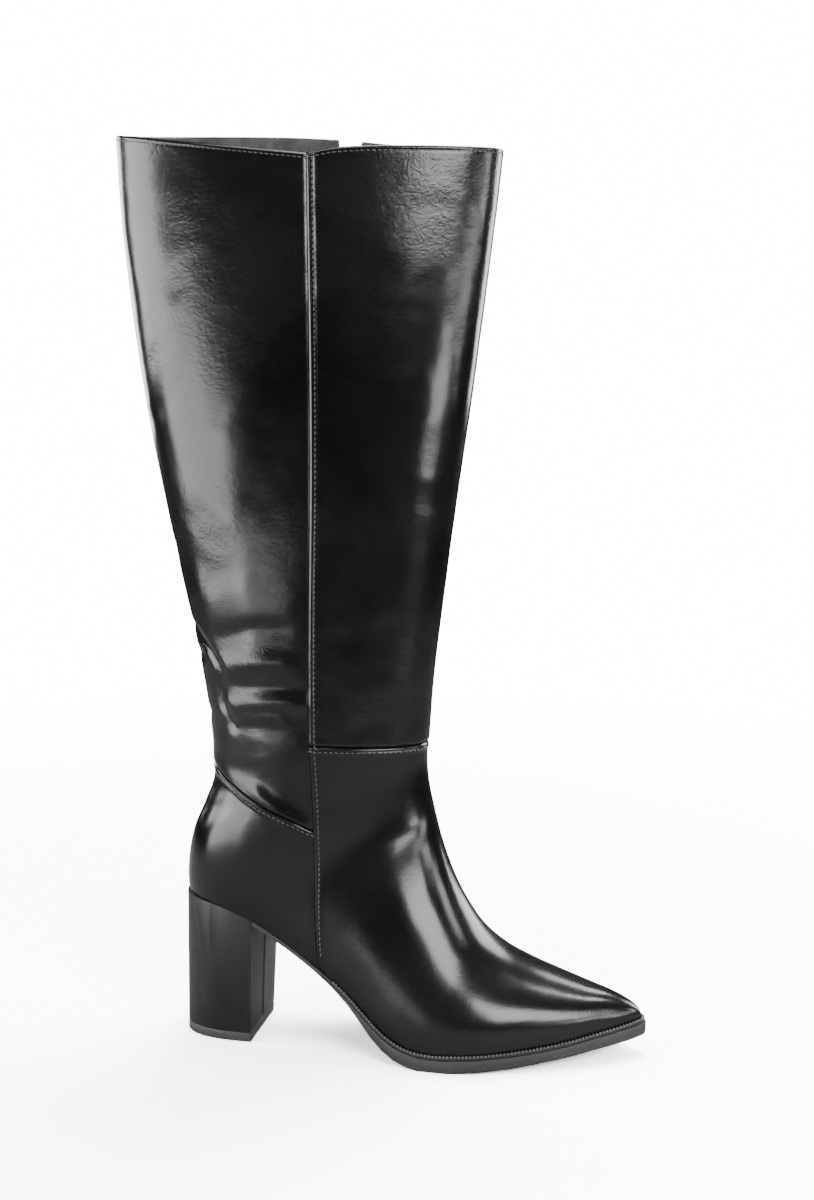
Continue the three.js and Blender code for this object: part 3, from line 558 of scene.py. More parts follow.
def surfaceMaterial(name, values, group):
    material = bpy.data.materials.new(name)
    material.use_nodes = True
    nodes, links = material.node_tree.nodes, material.node_tree.links
    shader = nodes["Principled BSDF"]
    shader.inputs["Specular IOR Level"].default_value = values.get("specular", 0.5)
    shader.inputs["Sheen Weight"].default_value = values.get("sheen", 0.0)
    shader.inputs["Metallic"].default_value = values.get("metallic", 0.0)
    surface = addNode(nodes, "Group")
    surface.node_tree = group
    surface.inputs["Scale"].default_value = values["scale"]
    for label, height in zip(("Grain", "Pores", "Crinkle", "Broad"), values.get("heights", ())):
        surface.inputs[label].default_value = height
    tone = addNode(nodes, "ValToRGB")
    for element, position, label in zip(tone.color_ramp.elements, patchSpan, ("dark", "light")):
        grey, blue = values[label]
        element.position = position
        element.color = (grey, grey, blue, 1)
    rough = addNode(nodes, "MapRange", {
        "From Min": patchSpan[0], "From Max": patchSpan[1],
        "To Min": values["rough"][0], "To Max": values["rough"][1],
    })
    bump = addNode(nodes, "Bump", {"Distance": values.get("weave", 1.0) / 1000})
    links.new(surface.outputs["Patches"], tone.inputs["Fac"])
    links.new(tone.outputs["Color"], shader.inputs["Base Color"])
    links.new(surface.outputs["Patches"], rough.inputs["Value"])
    links.new(rough.outputs["Result"], shader.inputs["Roughness"])
    links.new(surface.outputs["Height"], bump.inputs["Height"])
    links.new(bump.outputs["Normal"], shader.inputs["Normal"])
    return material


# Colours as a grey and its blue part, roughness at the least and most, and in millimetres the heights of
# grain, pores, crinkles and broad waves
finishes = {
    "leather": {
        "dark": (0.002, 0.0022), "light": (0.0045, 0.0048), "rough": (0.15, 0.22), "scale": 1100.0,
        "heights": (0.018, 0.016, 0.13, 1.2),
    },
    "footLeather": {
        "dark": (0.0022, 0.0024), "light": (0.005, 0.0053), "rough": (0.15, 0.22), "scale": 1100.0,
        "heights": (0.018, 0.016, 0.06, 0.45),
    },
    "thread": {
        "dark": (0.016, 0.0165), "light": (0.04, 0.041), "rough": (0.4, 0.55), "scale": 5200.0,
        "heights": (0.04, 0.04, 0.0, 0.0), "sheen": 0.2,
    },
    "lining": {
        "dark": (0.045, 0.045), "light": (0.085, 0.085), "rough": (0.85, 0.95), "scale": 620.0,
        "weave": 0.12, "sheen": 0.3,
    },
    "outsole": {
        "dark": (0.016, 0.0165), "light": (0.026, 0.0265), "rough": (0.5, 0.65), "scale": 1500.0,
        "heights": (0.03, 0.02, 0.02, 0.1),
    },
    "welt": {
        "dark": (0.01, 0.0105), "light": (0.02, 0.0205), "rough": (0.38, 0.5), "scale": 1800.0,
        "heights": (0.03, 0.02, 0.02, 0.05),
    },
    "weltRib": {
        "dark": (0.06, 0.061), "light": (0.11, 0.112), "rough": (0.3, 0.4), "scale": 2400.0,
        "heights": (0.02, 0.02, 0.0, 0.0),
    },
    "heel": {
        "dark": (0.007, 0.0075), "light": (0.012, 0.0125), "rough": (0.4, 0.5), "scale": 1700.0,
        "heights": (0.014, 0.012, 0.03, 0.2), "specular": 0.35,
    },
    "lift": {
        "dark": (0.018, 0.0185), "light": (0.03, 0.0305), "rough": (0.5, 0.65), "scale": 1300.0,
        "heights": (0.03, 0.03, 0.02, 0.05),
    },
    "tape": {
        "dark": (0.01, 0.0105), "light": (0.018, 0.019), "rough": (0.75, 0.85), "scale": 900.0,
        "weave": 0.15, "sheen": 0.3,
    },
    "coil": {
        "dark": (0.01, 0.011), "light": (0.018, 0.019), "rough": (0.28, 0.38), "scale": 3000.0,
        "heights": (0.01, 0.005, 0.0, 0.0),
    },
    "metal": {
        "dark": (0.03, 0.032), "light": (0.055, 0.058), "rough": (0.26, 0.34), "scale": 2600.0,
        "heights": (0.006, 0.006, 0.01, 0.0), "metallic": 0.9,
    },
}
woven = ("lining", "tape")
materials = {
    name: surfaceMaterial("boot_" + name, values, weaveGroup if name in woven else grainGroup)
    for name, values in finishes.items()
}
print("materials ready", len(materials))

# Folds placed on the sides and the back of the ankle: from x z, to x z, bow, width, height
folds = {
    "outer": [
        (-15, 220, 7, 197, 1.5, 1.9, -1.3), (7, 200, 7.5, 177, -1.0, 2.0, -1.2),
        (7, 180, 14, 167, 0.5, 2.2, -0.9), (2, 213, 46, 221, 2.5, 5.0, -0.35),
        (4, 196, 48, 202, 3.5, 5.5, 0.95), (14, 190, 54, 191, -1.5, 2.6, -0.35),
        (18, 193, 52, 196, 1.5, 1.1, 0.14), (10, 186, 40, 187.5, 2.0, 1.1, 0.12),
        (7, 177.5, 56, 182, 3.0, 4.6, 0.85), (14, 172.5, 44, 174, 1.2, 2.4, 0.4),
        (10, 168, 40, 169, 1.5, 4.2, -0.25), (-8, 152, 22, 138, -1.0, 4.0, 0.3),
        (22, 139, 52, 119, -1.5, 4.0, 0.7), (-24, 262, 6, 240, 2, 9, -0.6), (-20, 292, 20, 270, 3, 12, 0.5),
        (66, 214, 104, 222, -2, 7, -0.3), (70, 190, 108, 196, -2, 7, 0.3), (74, 168, 106, 172, 2, 5, -0.25),
    ],
    "both": [
        (-16, 204, -4, 203, 0, 3.0, -0.8), (-14, 173, -2, 172, 0, 3.0, -0.9),
    ],
    "inner": [
        (-14, 218, 12, 199, 1.5, 2.8, -1.1), (4, 202, 44, 206, 2.5, 6.0, 1.0),
        (6, 191, 44, 196, -1.5, 3.5, -0.9), (8, 180, 44, 182, 2.0, 5.0, 0.9),
        (6, 166, 40, 169, 1.5, 4.5, -0.8),
    ],
}

foldBlend = {
    "sideReach": 4, "sideBlend": 12, "runOut": 0.12, "fade": 0.3,
    "wavesFrom": 120, "wavesOver": 60, "footWaves": 0.02, "legWaves": 0.05,
}


def foldRelief(points):
    # Soft troughs and ridges, in millimetres along the surface's normal
    x, y, z = points[..., 0], points[..., 1], points[..., 2]
    relief = np.zeros(x.shape)
    reach, blend, runOut = foldBlend["sideReach"], foldBlend["sideBlend"], foldBlend["runOut"]
    weights = {
        "outer": smoothStep((reach - y) / blend), "inner": smoothStep((y + reach) / blend), "both": 1.0,
    }
    rows = [(weights[side], fold) for side in folds for fold in folds[side]]
    for weight, (fromX, fromZ, toX, toZ, bow, width, height) in rows:
        spanX, spanZ = toX - fromX, toZ - fromZ
        long = math.hypot(spanX, spanZ)
        u = ((x - fromX) * spanX + (z - fromZ) * spanZ) / long ** 2
        away = ((z - fromZ) * spanX - (x - fromX) * spanZ) / long - bow * 4 * u * (1 - u)
        window = smoothStep((u + runOut) / foldBlend["fade"])
        window *= smoothStep((1 + runOut - u) / foldBlend["fade"])
        relief += height * np.exp(-(away / width) ** 2) * window * weight
    wobble = np.sin(x * 0.11 + z * 0.043) * np.sin(z * 0.071 - x * 0.05 + 1.3)
    wobble += 0.6 * np.sin(x * 0.19 - z * 0.12 + 0.7) * np.sin(z * 0.15 + y * 0.1)
    aboveAnkle = smoothStep((z - foldBlend["wavesFrom"]) / foldBlend["wavesOver"])
    return relief + wobble * (foldBlend["footWaves"] + foldBlend["legWaves"] * aboveAnkle)


# Cross profiles of the worked edges: distance from the edge, height over the panel
profiles = {
    "seamOver": [
        (0, -0.6), (0.2, -0.32), (1.2, 0.42), (1.5, 0.55), (1.8, 0.52), (2.05, 0.36), (2.3, 0.36),
        (2.6, 0.46), (3.0, 0.55), (3.4, 0.52), (3.9, 0.34), (4.5, 0.1), (5.2, 0),
    ],
    "seamUnder": [(0, -0.9), (0.6, -0.6), (1.25, -0.25), (2.3, 0)],
    "shaftLower": [(0, -1.5), (0.3, -0.9), (0.6, -0.5), (0.9, -0.25), (1.6, 0)],
    "footUpper": [
        (0, -0.9), (0.25, -0.35), (0.9, 0.2), (1.2, 0.34), (1.5, 0.3), (1.75, 0.12), (2.0, 0.12),
        (2.3, 0.28), (2.7, 0.36), (3.1, 0.3), (3.9, 0.06), (4.6, 0),
    ],
    "collar": [
        (0, -1.0), (0.3, -0.5), (0.6, -0.2), (0.9, -0.04), (1.25, 0), (1.95, -0.1), (2.3, -0.2),
        (2.65, -0.1), (3.4, 0),
    ],
    "zipEdge": [
        (0, -1.0), (0.3, -0.45), (0.6, -0.15), (0.9, 0), (1.25, 0.05), (1.6, -0.1), (1.95, -0.18),
        (2.3, -0.1), (3.0, 0),
    ],
}


def profileAt(name, distance):
    return np.interp(distance, [p[0] for p in profiles[name]], [p[1] for p in profiles[name]])


def makePanel(bounds, offset, edges, across, down, ends=None, weights=None):
    # Points and normals of a leather panel with its worked edges and folds
    if callable(bounds[0]):
        points, place, angle = panelPoints(bounds, offset, across, down, ends)
    else:
        points, place, angle = patchPoints(*bounds, offset, across, down)
    middle = [(a + b) / 2 for a, b in zip(formPoint(place, 0 * angle), formPoint(place, 0 * angle + math.pi))]
    middle = np.stack(middle, axis=-1)
    normals = normalsOf(points, middle)
    over, under = runLengths(points, 1), runLengths(points, 0)
    distances = {
        "left": over, "right": over[:, -1:] - over, "top": under, "bottom": under[-1:, :] - under,
    }
    relief = foldRelief(points)
    for side, profile in edges.items():
        weight = 1.0 if weights is None or side not in weights else weights[side](place)
        relief = relief + profileAt(profile, distances[side]) * weight
    points = points + normals * relief[..., None]
    return {"points": points, "normals": normalsOf(points, middle), "place": place, "distances": distances}


def edgeLine(panel, side, distance, lift=0.0):
    # The line that runs along one edge of a panel, at a distance from it
    points, normals, away = panel["points"], panel["normals"], panel["distances"][side]
    if side in ("top", "bottom"):
        points, normals, away = points.transpose(1, 0, 2), normals.transpose(1, 0, 2), away.T
    order = slice(None) if side in ("left", "top") else slice(None, None, -1)
    line, lineNormals = [], []
    for row in range(points.shape[0]):
        run = away[row][order]
        line.append([np.interp(distance, run, points[row, order, k]) for k in range(3)])
        lineNormals.append([np.interp(distance, run, normals[row, order, k]) for k in range(3)])
    line, lineNormals = np.array(line), np.array(lineNormals)
    return line + lineNormals * lift, lineNormals


def evenly(line, normals, pitch, trim=0.0):
    # Points at an even pitch along a line, with tangents and normals
    run = np.concatenate([[0], np.cumsum(np.linalg.norm(np.diff(line, axis=0), axis=1))])
    keep = np.concatenate([[True], np.diff(run) > 1e-6])
    run, line, normals = run[keep], line[keep], normals[keep]
    count = max(int((run[-1] - 2 * trim) / pitch), 1)
    at = np.linspace(trim, run[-1] - trim, count + 1)
    sample = lambda values: np.stack([np.interp(at, run, values[:, k]) for k in range(3)], axis=-1)
    centres, up = sample(line), sample(normals)
    tangents = np.gradient(centres, axis=0)
    tangents /= np.linalg.norm(tangents, axis=1, keepdims=True)
    side = np.cross(tangents, up)
    side /= np.linalg.norm(side, axis=1, keepdims=True)
    return centres, tangents, side, np.cross(side, tangents)


def beadTemplate(segments, rings):
    bm = bmesh.new()
    bmesh.ops.create_uvsphere(bm, u_segments=segments, v_segments=rings, radius=1.0)
    verts = np.array([vert.co[:] for vert in bm.verts])
    faces = [[vert.index for vert in face.verts] for face in bm.faces]
    bm.free()
    return verts, faces


def beadMesh(name, runs, size, finish, cadNodes=(), segments=6, rings=5, slant=0.0):
    # Many small rounded pieces along lines, joined into one mesh; size is along, across and up
    template, faces = beadTemplate(segments, rings)
    allVerts, allFaces = [], []
    turn = math.radians(slant)
    for centres, tangents, side, up in runs:
        along = tangents * math.cos(turn) + side * math.sin(turn)
        cross = side * math.cos(turn) - tangents * math.sin(turn)
        for k in range(len(centres)):
            axes = np.array([along[k] * size[0], cross[k] * size[1], up[k] * size[2]])
            allFaces += [[index + len(allVerts) * len(template) for index in face] for face in faces]
            allVerts.append((centres[k] + template @ axes) / 1000)
    mesh = bpy.data.meshes.new(name)
    mesh.from_pydata(np.concatenate(allVerts).tolist(), [], allFaces)
    bm = bmesh.new()
    bm.from_mesh(mesh)
    bmesh.ops.recalc_face_normals(bm, faces=bm.faces)
    return finishMesh(name, bm, finish, cadNodes)


# Leather of the leg

shaft = {"offset": 0.6, "wall": 1.3, "liningDepth": -1.1, "liningWall": 0.8}
tests = edgeTests(shaft["offset"])
frontBounds = (tests["zipFront"], tests["seamFront"], tests["rim"], tests["ankle"])
rearBounds = (tests["seamRear"], fullTurn(tests["zipRear"]), tests["rim"], tests["counter"])
shaftFront = makePanel(
    frontBounds, shaft["offset"],
    {"left": "zipEdge", "right": "seamOver", "top": "collar", "bottom": "shaftLower"}, 60, 120,
)
shaftRear = makePanel(
    rearBounds, shaft["offset"],
    {"left": "seamUnder", "right": "zipEdge", "top": "collar", "bottom": "shaftLower"}, 84, 150,
)
gridMesh("shaft_front_panel", shaftFront["points"], "leather", ["shaft"], shaft["wall"])
gridMesh("shaft_rear_panel", shaftRear["points"], "leather", ["shaft"], shaft["wall"])
print("leg panels made")

# Leather of the foot

foot = {
    "wall": 1.2, "capWeld": 0.00006, "zipFade": (1.5, 1.0), "seamFade": (0.3, 0.6), "cornerPlaces": (16, 24),
    "counterPlaces": (9, 24),
}
tests0 = edgeTests(0.0)


def nearer(first, second, side):
    # The bound that lies closer to the front
    pick = np.minimum if side > 0 else np.maximum
    return lambda place: pick(first(place), second(place))


def cornerPlace(first, second):
    # The place where two bounding lines meet
    gapAt = np.abs(first(placeTable) - second(placeTable))
    low, high = foot["cornerPlaces"]
    gapAt[(placeTable < low) | (placeTable > high)] = np.inf
    return placeTable[np.argmin(gapAt)]


outerCorner = cornerPlace(tests0["seamFront"], tests0["featherOuter"])
innerCorner = cornerPlace(tests0["zipFront"], tests0["featherInner"])
vampEnd = lambda angle: np.full(np.shape(angle), float(lastPlace))
ankleTop = float(tests0["ankle"](1.2))
vampEnds = [(corner - ankleTop) / (lastPlace - ankleTop) for corner in (outerCorner, innerCorner)]
vampBounds = (
    nearer(tests0["zipFront"], tests0["featherInner"], -1),
    nearer(tests0["seamFront"], tests0["featherOuter"], 1),
    tests0["ankle"], vampEnd,
)


def fading(corner, fade):
    # The weight of a worked edge, which runs out near a corner
    return lambda place: 1 - smoothStep((place - corner + fade[0]) / fade[1])


zipFade = fading(innerCorner, foot["zipFade"])
seamFade = fading(outerCorner, foot["seamFade"])
vamp = makePanel(
    vampBounds, 0.0, {"left": "zipEdge", "right": "seamOver", "top": "footUpper"}, 76, 200, vampEnds,
    {"left": zipFade, "right": seamFade},
)


def counterEdges():
    # The counter's four edges: side seam, zip, counter seam and feather line, as places and angles
    seam, slide = tests0["seamRear"], fullTurn(tests0["zipRear"])
    first, beyond = foot["counterPlaces"]
    inFoot = placeTable[(placeTable > first) & (placeTable < beyond)]
    sides = []
    for line in (seam, slide):
        start = inFoot[np.argmax(tests0["counter"](line(inFoot)) - inFoot <= 0)]
        feather = tests0["featherOuter"] if line is seam else tests0["featherInner"]
        reach = np.abs(feather(inFoot)) - np.abs((line(inFoot) + math.pi) % (2 * math.pi) - math.pi)
        low = inFoot[(inFoot > foot["cornerPlaces"][0]) & (reach <= 0)][0]
        places = np.linspace(start, low, 120)
        sides.append(np.stack([places, line(places)], axis=-1))
    angles = np.linspace(sides[0][0, 1], sides[1][0, 1], 200)
    top = np.stack([tests0["counter"](angles), angles], axis=-1)
    top[0], top[-1] = sides[0][0], sides[1][0]
    back = float(np.nanmin(tests0["feather"](np.linspace(3.0, math.pi, 40))))
    outerPlaces = back + (sides[0][-1, 0] - back) * np.linspace(1, 0, 160) ** 2
    innerPlaces = back + (sides[1][-1, 0] - back) * np.linspace(0, 1, 160) ** 2
    outer = np.stack([outerPlaces, tests0["featherOuter"](outerPlaces)], axis=-1)
    inner = np.stack([innerPlaces, 2 * math.pi + tests0["featherInner"](innerPlaces)], axis=-1)
    bottom = np.concatenate([outer[:-1], [[back, math.pi]], inner[1:]])
    bottom[0], bottom[-1] = sides[0][-1], sides[1][-1]
    return sides[0], sides[1], top, bottom


counterBounds = counterEdges()
counter = makePanel(
    counterBounds, 0.0, {"left": "seamUnder", "right": "zipEdge", "top": "footUpper"}, 84, 80, None,
    {"right": zipFade},
)
tip = vamp["points"][-1].mean(axis=0)
capRows = [mix(vamp["points"][-1], tip + np.array([0.5 * share, 0, 0]), share) for share in (0.5, 1.0)]
vampPoints = np.concatenate([vamp["points"], np.stack(capRows)])
gridMesh("vamp", vampPoints, "footLeather", ["upper"], foot["wall"], foot["capWeld"])
gridMesh("counter", counter["points"], "footLeather", ["upper"], foot["wall"])
print("foot panels made", round(float(outerCorner), 2), round(float(innerCorner), 2))

# Linings, a little inside the leather

lining = {"rimDrop": 0.04, "lowPlace": 14.0, "seamAngle": 1.6, "across": 30, "down": 50}
liningTests = edgeTests(shaft["liningDepth"])


def liningMesh(name, left, right):
    # One half of the lining, from a little under the rim down into the foot
    bounds = (
        left, right, lambda angle: liningTests["rim"](angle) + lining["rimDrop"],
        lambda angle: 0 * angle + lining["lowPlace"],
    )
    points = panelPoints(bounds, shaft["liningDepth"], lining["across"], lining["down"])[0]
    gridMesh(name, points, "lining", [], shaft["liningWall"])


liningSeam = lambda place: 0 * place + lining["seamAngle"]
liningMesh("lining_front", liningTests["zipFront"], liningSeam)
liningMesh("lining_rear", liningSeam, fullTurn(liningTests["zipRear"]))

# Padded sock over the insole

insole = {
    "rise": 4.9, "thickness": 2.4, "from": -15.0, "to": 213.0, "dish": 0.8, "inset": -2.4, "firstPlace": 15.3,
    "endGap": 0.2, "heelRound": 14,
}


def sockPoints(stations, across):
    rows = []
    for side in (1, -1):
        places = np.linspace(insole["firstPlace"], lastPlace - insole["endGap"], 300)
        test = angleOf(lambda x, y, z: z - featherHeight(x) - insole["rise"], side, insole["inset"])
        x, y, z = formPoint(places, test(places), insole["inset"])
        order = np.argsort(x)
        rows.append((x[order], y[order]))
    stationX = mix(insole["from"], insole["to"], 0.5 - 0.5 * np.cos(np.linspace(0, math.pi, stations)))
    outerY = np.interp(stationX, *rows[0])
    innerY = np.interp(stationX, *rows[1])
    share = np.linspace(0, 1, across)
    y = mix(outerY[:, None], innerY[:, None], share[None, :])
    endTaper = np.sqrt(np.clip((stationX - insole["from"]) / insole["heelRound"], 0, 1))[:, None]
    middle = (outerY + innerY)[:, None] / 2
    y = middle + (y - middle) * endTaper
    x = np.repeat(stationX[:, None], across, axis=1)
    z = featherHeight(x) + insole["rise"] - insole["dish"] * (1 - (2 * share[None, :] - 1) ** 2)
    return np.stack([x, y, z], axis=-1)


gridMesh("sock", sockPoints(90, 25), "lining", ["insole"], insole["thickness"], foot["capWeld"])
print("linings made")

# Solid parts that keep the shape of their nodes, with softened edges

softening = {"weld": 0.000005, "flat": 1.0, "sharp": 32}


def softened(name, node, finish, width, body="boot"):
    bm = bmesh.new()
    bm.from_mesh(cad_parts[node].data)
    bmesh.ops.remove_doubles(bm, verts=bm.verts, dist=softening["weld"])
    bmesh.ops.dissolve_limit(bm, angle_limit=math.radians(softening["flat"]), verts=bm.verts, edges=bm.edges)
    piece = finishMesh(name, bm, finish, [node], 0.0, body)
    bevel = piece.modifiers.new("edges", "BEVEL")
    bevel.width = width / 1000
    bevel.segments = 2
    bevel.limit_method = "ANGLE"
    bevel.angle_limit = math.radians(softening["sharp"])
    bevel.harden_normals = True


softened("heel_cover", "heel_block", "heel", 0.5)
softened("heel_top_piece", "heel_lift", "lift", 0.4)
softened("sole_unit", "outsole", "outsole", 0.4)
softened("welt_strip", "welt", "welt", 0.2)
softened("slider_body", "zip_slider", "metal", 0.25)
softened("pull_tab", "zip_pull", "metal", 0.2, "pull")
print("solid parts finished")

# Joint of the heel's covering down the middle of its breast

breastSeam = {
    "low": 6.5, "high": 66.0, "width": 0.9, "height": 0.35, "rows": 40, "ahead": 60.0,
    "profile": ((-1, -0.1), (-0.45, 1.0), (0.0, -0.2), (0.45, 1.0), (1, -0.1)),
}
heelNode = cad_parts["heel_block"]
heelSpots = [heelNode.matrix_world @ vert.co for vert in heelNode.data.vertices]
heelTree = BVHTree.FromPolygons(heelSpots, [tuple(face.vertices) for face in heelNode.data.polygons])
seamPoints = []
for height in np.linspace(breastSeam["high"], breastSeam["low"], breastSeam["rows"]):
    row = []
    for share, lift in breastSeam["profile"]:
        start = Vector((breastSeam["ahead"], share * breastSeam["width"], height)) / 1000
        spot = heelTree.ray_cast(start, Vector((-1, 0, 0)))[0]
        row.append((spot.x * 1000 + lift * breastSeam["height"], spot.y * 1000, height))
    seamPoints.append(row)
gridMesh("breast_seam", np.array(seamPoints), "heel")

# Ribs along the top of the welt, round the forefoot

welt = {
    "pitch": 1.9, "inset": 0.75, "size": (0.62, 0.85, 0.5), "from": 66.0, "lift": 0.1,
    "edge": 2.1, "edgeStart": 0.2, "edgeFull": 0.42, "firstPlace": 17,
}


def weltEdge(test, side):
    # The sole's edge in plan on one side, moved in a little, at the height of the welt's top
    places = np.linspace(welt["firstPlace"], lastPlace, 500)
    x, y, z = formPoint(places, test(places), 0.0)
    plan = np.stack([x, y], axis=-1)
    along = np.gradient(plan, axis=0)
    along /= np.linalg.norm(along, axis=1, keepdims=True)
    outward = np.stack([along[:, 1], -along[:, 0]], axis=-1) * side
    start, full = alongFoot(welt["edgeStart"]), alongFoot(welt["edgeFull"])
    projection = welt["edge"] * smoothStep((x - start) / (full - start))
    plan = plan + outward * (projection[:, None] - welt["inset"])
    plan = plan[plan[:, 0] > welt["from"]]
    return np.stack([plan[:, 0], plan[:, 1], featherHeight(plan[:, 0]) + welt["lift"]], axis=-1)


weltLine = np.concatenate([weltEdge(tests0["featherOuter"], 1), weltEdge(tests0["featherInner"], -1)[::-1]])
weltUp = np.repeat(np.array([[0.0, 0.0, 1.0]]), len(weltLine), axis=0)
weltRun = evenly(weltLine, weltUp, welt["pitch"])
beadMesh("welt_ribs", [weltRun], welt["size"], "weltRib")

# Stitch rows

stitch = {
    "pitch": 2.7, "size": (1.12, 0.33, 0.27), "lift": 0.14, "slant": 7,
    "seam": 3.1, "collar": 2.3, "zip": 2.0, "foot": 2.6,
    "zipEndGap": 1.5, "seamEndGap": 0.2, "counterZipShare": 0.8,
}


def stitchRow(panel, side, distance, end=1.0):
    line, normals = edgeLine(panel, side, distance, stitch["lift"])
    count = max(int(len(line) * end), 2)
    return evenly(line[:count], normals[:count], stitch["pitch"], 1.0)


zipBeyond = vamp["place"][:, 0] > innerCorner - stitch["zipEndGap"]
seamBeyond = vamp["place"][:, -1] > outerCorner - stitch["seamEndGap"]
zipEnd, seamEnd = [float(np.argmax(beyond)) / len(beyond) for beyond in (zipBeyond, seamBeyond)]
legStitches = [
    stitchRow(shaftFront, "right", stitch["seam"]), stitchRow(shaftFront, "top", stitch["collar"]),
    stitchRow(shaftRear, "top", stitch["collar"]), stitchRow(shaftFront, "left", stitch["zip"]),
    stitchRow(shaftRear, "right", stitch["zip"]),
]
footStitches = [
    stitchRow(vamp, "top", stitch["foot"]), stitchRow(counter, "top", stitch["foot"]),
    stitchRow(vamp, "right", stitch["seam"], seamEnd), stitchRow(vamp, "left", stitch["zip"], zipEnd),
    stitchRow(counter, "right", stitch["zip"], stitch["counterZipShare"]),
]
beadMesh("leg_stitches", legStitches, stitch["size"], "thread", slant=stitch["slant"])
beadMesh("foot_stitches", footStitches, stitch["size"], "thread", slant=stitch["slant"])
print("stitches laid")

# Zip: woven tapes behind the opening and the closed coils between its edges

zipper = {
    "tapeDepth": -2.4, "tapeWall": 0.8, "tapeHalf": 15.0, "pitch": 1.25, "tooth": (1.9, 0.5, 0.62),
    "coilDepth": -1.1, "coilAway": 1.55, "chainTop": 439.7, "chainStart": 9.0, "footTaper": 34.0,
    "tapeFoot": 4, "tapeTop": 5, "tapeGap": 0.15, "footShare": 0.25, "lastPlace": 20,
    "tapeAcross": 12, "tapeDown": 160, "chainPlaces": 400, "stagger": 0.25,
}


def zipAngle(shift, offset):
    return angleOf(lambda x, y, z: x - zipX(z) - shift, -1, offset)


def zipPlaces(offset, low, high, count):
    # Places along the zip's line between two heights
    angle = zipAngle(0, offset)
    z = formPoint(placeTable, angle(placeTable), offset)[2]
    falling = placeTable < zipper["lastPlace"]
    return np.interp(np.linspace(high, low, count), z[falling][::-1], placeTable[falling][::-1])


def tapePanel(side):
    depth, low = zipper["tapeDepth"], zipFoot - zipper["tapeFoot"]
    places = zipPlaces(depth, low, collarHeight - zipper["tapeTop"], zipper["tapeDown"])
    shares = np.linspace(0, 1, zipper["tapeAcross"])
    nearAngle = zipAngle(side * zipper["tapeGap"], depth)(places)
    farAngle = zipAngle(side * zipper["tapeHalf"], depth)(places)
    height = formPoint(places, nearAngle, depth)[2]
    narrow = mix(zipper["footShare"], 1.0, smoothStep((height - low) / zipper["footTaper"]))
    farAngle = mix(nearAngle, farAngle, narrow)
    angle = mix(nearAngle[:, None], farAngle[:, None], shares[None, :])
    place = np.repeat(places[:, None], len(shares), axis=1)
    return np.stack(formPoint(place, angle, depth), axis=-1)


gridMesh("tape_front", tapePanel(1), "tape", ["zip_tape_front"], zipper["tapeWall"])
gridMesh("tape_rear", tapePanel(-1), "tape", ["zip_tape_rear"], zipper["tapeWall"])

chainLow = zipFoot + zipper["chainStart"]
coilPlaces = zipPlaces(zipper["coilDepth"], chainLow, zipper["chainTop"], zipper["chainPlaces"])
coilAngle = zipAngle(0, zipper["coilDepth"])(coilPlaces)
coilLine = np.stack(formPoint(coilPlaces, coilAngle, zipper["coilDepth"]), axis=-1)
coilOut = np.stack(formPoint(coilPlaces, coilAngle, zipper["coilDepth"] + 1), axis=-1) - coilLine
coilOut /= np.linalg.norm(coilOut, axis=1, keepdims=True)
centres, tangents, side, up = evenly(coilLine, coilOut, zipper["pitch"])
teeth = []
for sign in (1, -1):
    shift = side * zipper["coilAway"] * sign + tangents * zipper["pitch"] * zipper["stagger"] * sign
    teeth.append((centres + shift, side, -tangents, up))
beadMesh("zip_coils", teeth, zipper["tooth"], "coil", ["zip_chain"], 8, 6)
print("zip made")

# Stage, light and camera

stageLook = {
    "nearGloss": 0.2, "farGloss": 0.015, "inView": 3.4, "farWhite": 16.0, "ambient": 0.05,
    "near": 0.35, "far": 0.95, "size": 6.0,
}
floorMaterial = bpy.data.materials.new("studio_paper")
floorMaterial.use_nodes = True
paperNodes, paperLinks = floorMaterial.node_tree.nodes, floorMaterial.node_tree.links
paper = paperNodes["Principled BSDF"]
paper.inputs["Base Color"].default_value = (0.85, 0.85, 0.85, 1)
paper.inputs["Roughness"].default_value = 0.75


def paperVariant(level):
    return addNode(paperNodes, "BsdfDiffuse", {"Color": (level, level, level, 1)}).outputs["BSDF"]


def paperBlend(factor, first, second):
    blend = addNode(paperNodes, "MixShader")
    for socket, source in zip(blend.inputs, (factor, first, second)):
        paperLinks.new(source, socket)
    return blend.outputs["Shader"]


# The paper is overexposed for the camera, fades to plain white away from the boot, and is dim in the gloss
paperKind = addNode(paperNodes, "LightPath")
paperPlace = addNode(paperNodes, "TexCoord")
paperReach = addNode(paperNodes, "VectorMath")
paperReach.operation = "LENGTH"
paperLinks.new(paperPlace.outputs["Object"], paperReach.inputs[0])
paperFade = addNode(paperNodes, "MapRange", {"From Min": stageLook["near"], "From Max": stageLook["far"]})
paperFade.interpolation_type = "SMOOTHSTEP"
paperLinks.new(paperReach.outputs["Value"], paperFade.inputs["Value"])
plainPaper = addNode(paperNodes, "Emission", {"Strength": stageLook["farWhite"]})
away = paperFade.outputs["Result"]
seenPaper = paperBlend(away, paperVariant(stageLook["inView"]), plainPaper.outputs["Emission"])
dimPaper = paperBlend(away, paperVariant(stageLook["nearGloss"]), paperVariant(stageLook["farGloss"]))
glossPaper = paperBlend(paperKind.outputs["Is Glossy Ray"], paper.outputs["BSDF"], dimPaper)
wholePaper = paperBlend(paperKind.outputs["Is Camera Ray"], glossPaper, seenPaper)
paperLinks.new(wholePaper, paperNodes["Material Output"].inputs["Surface"])

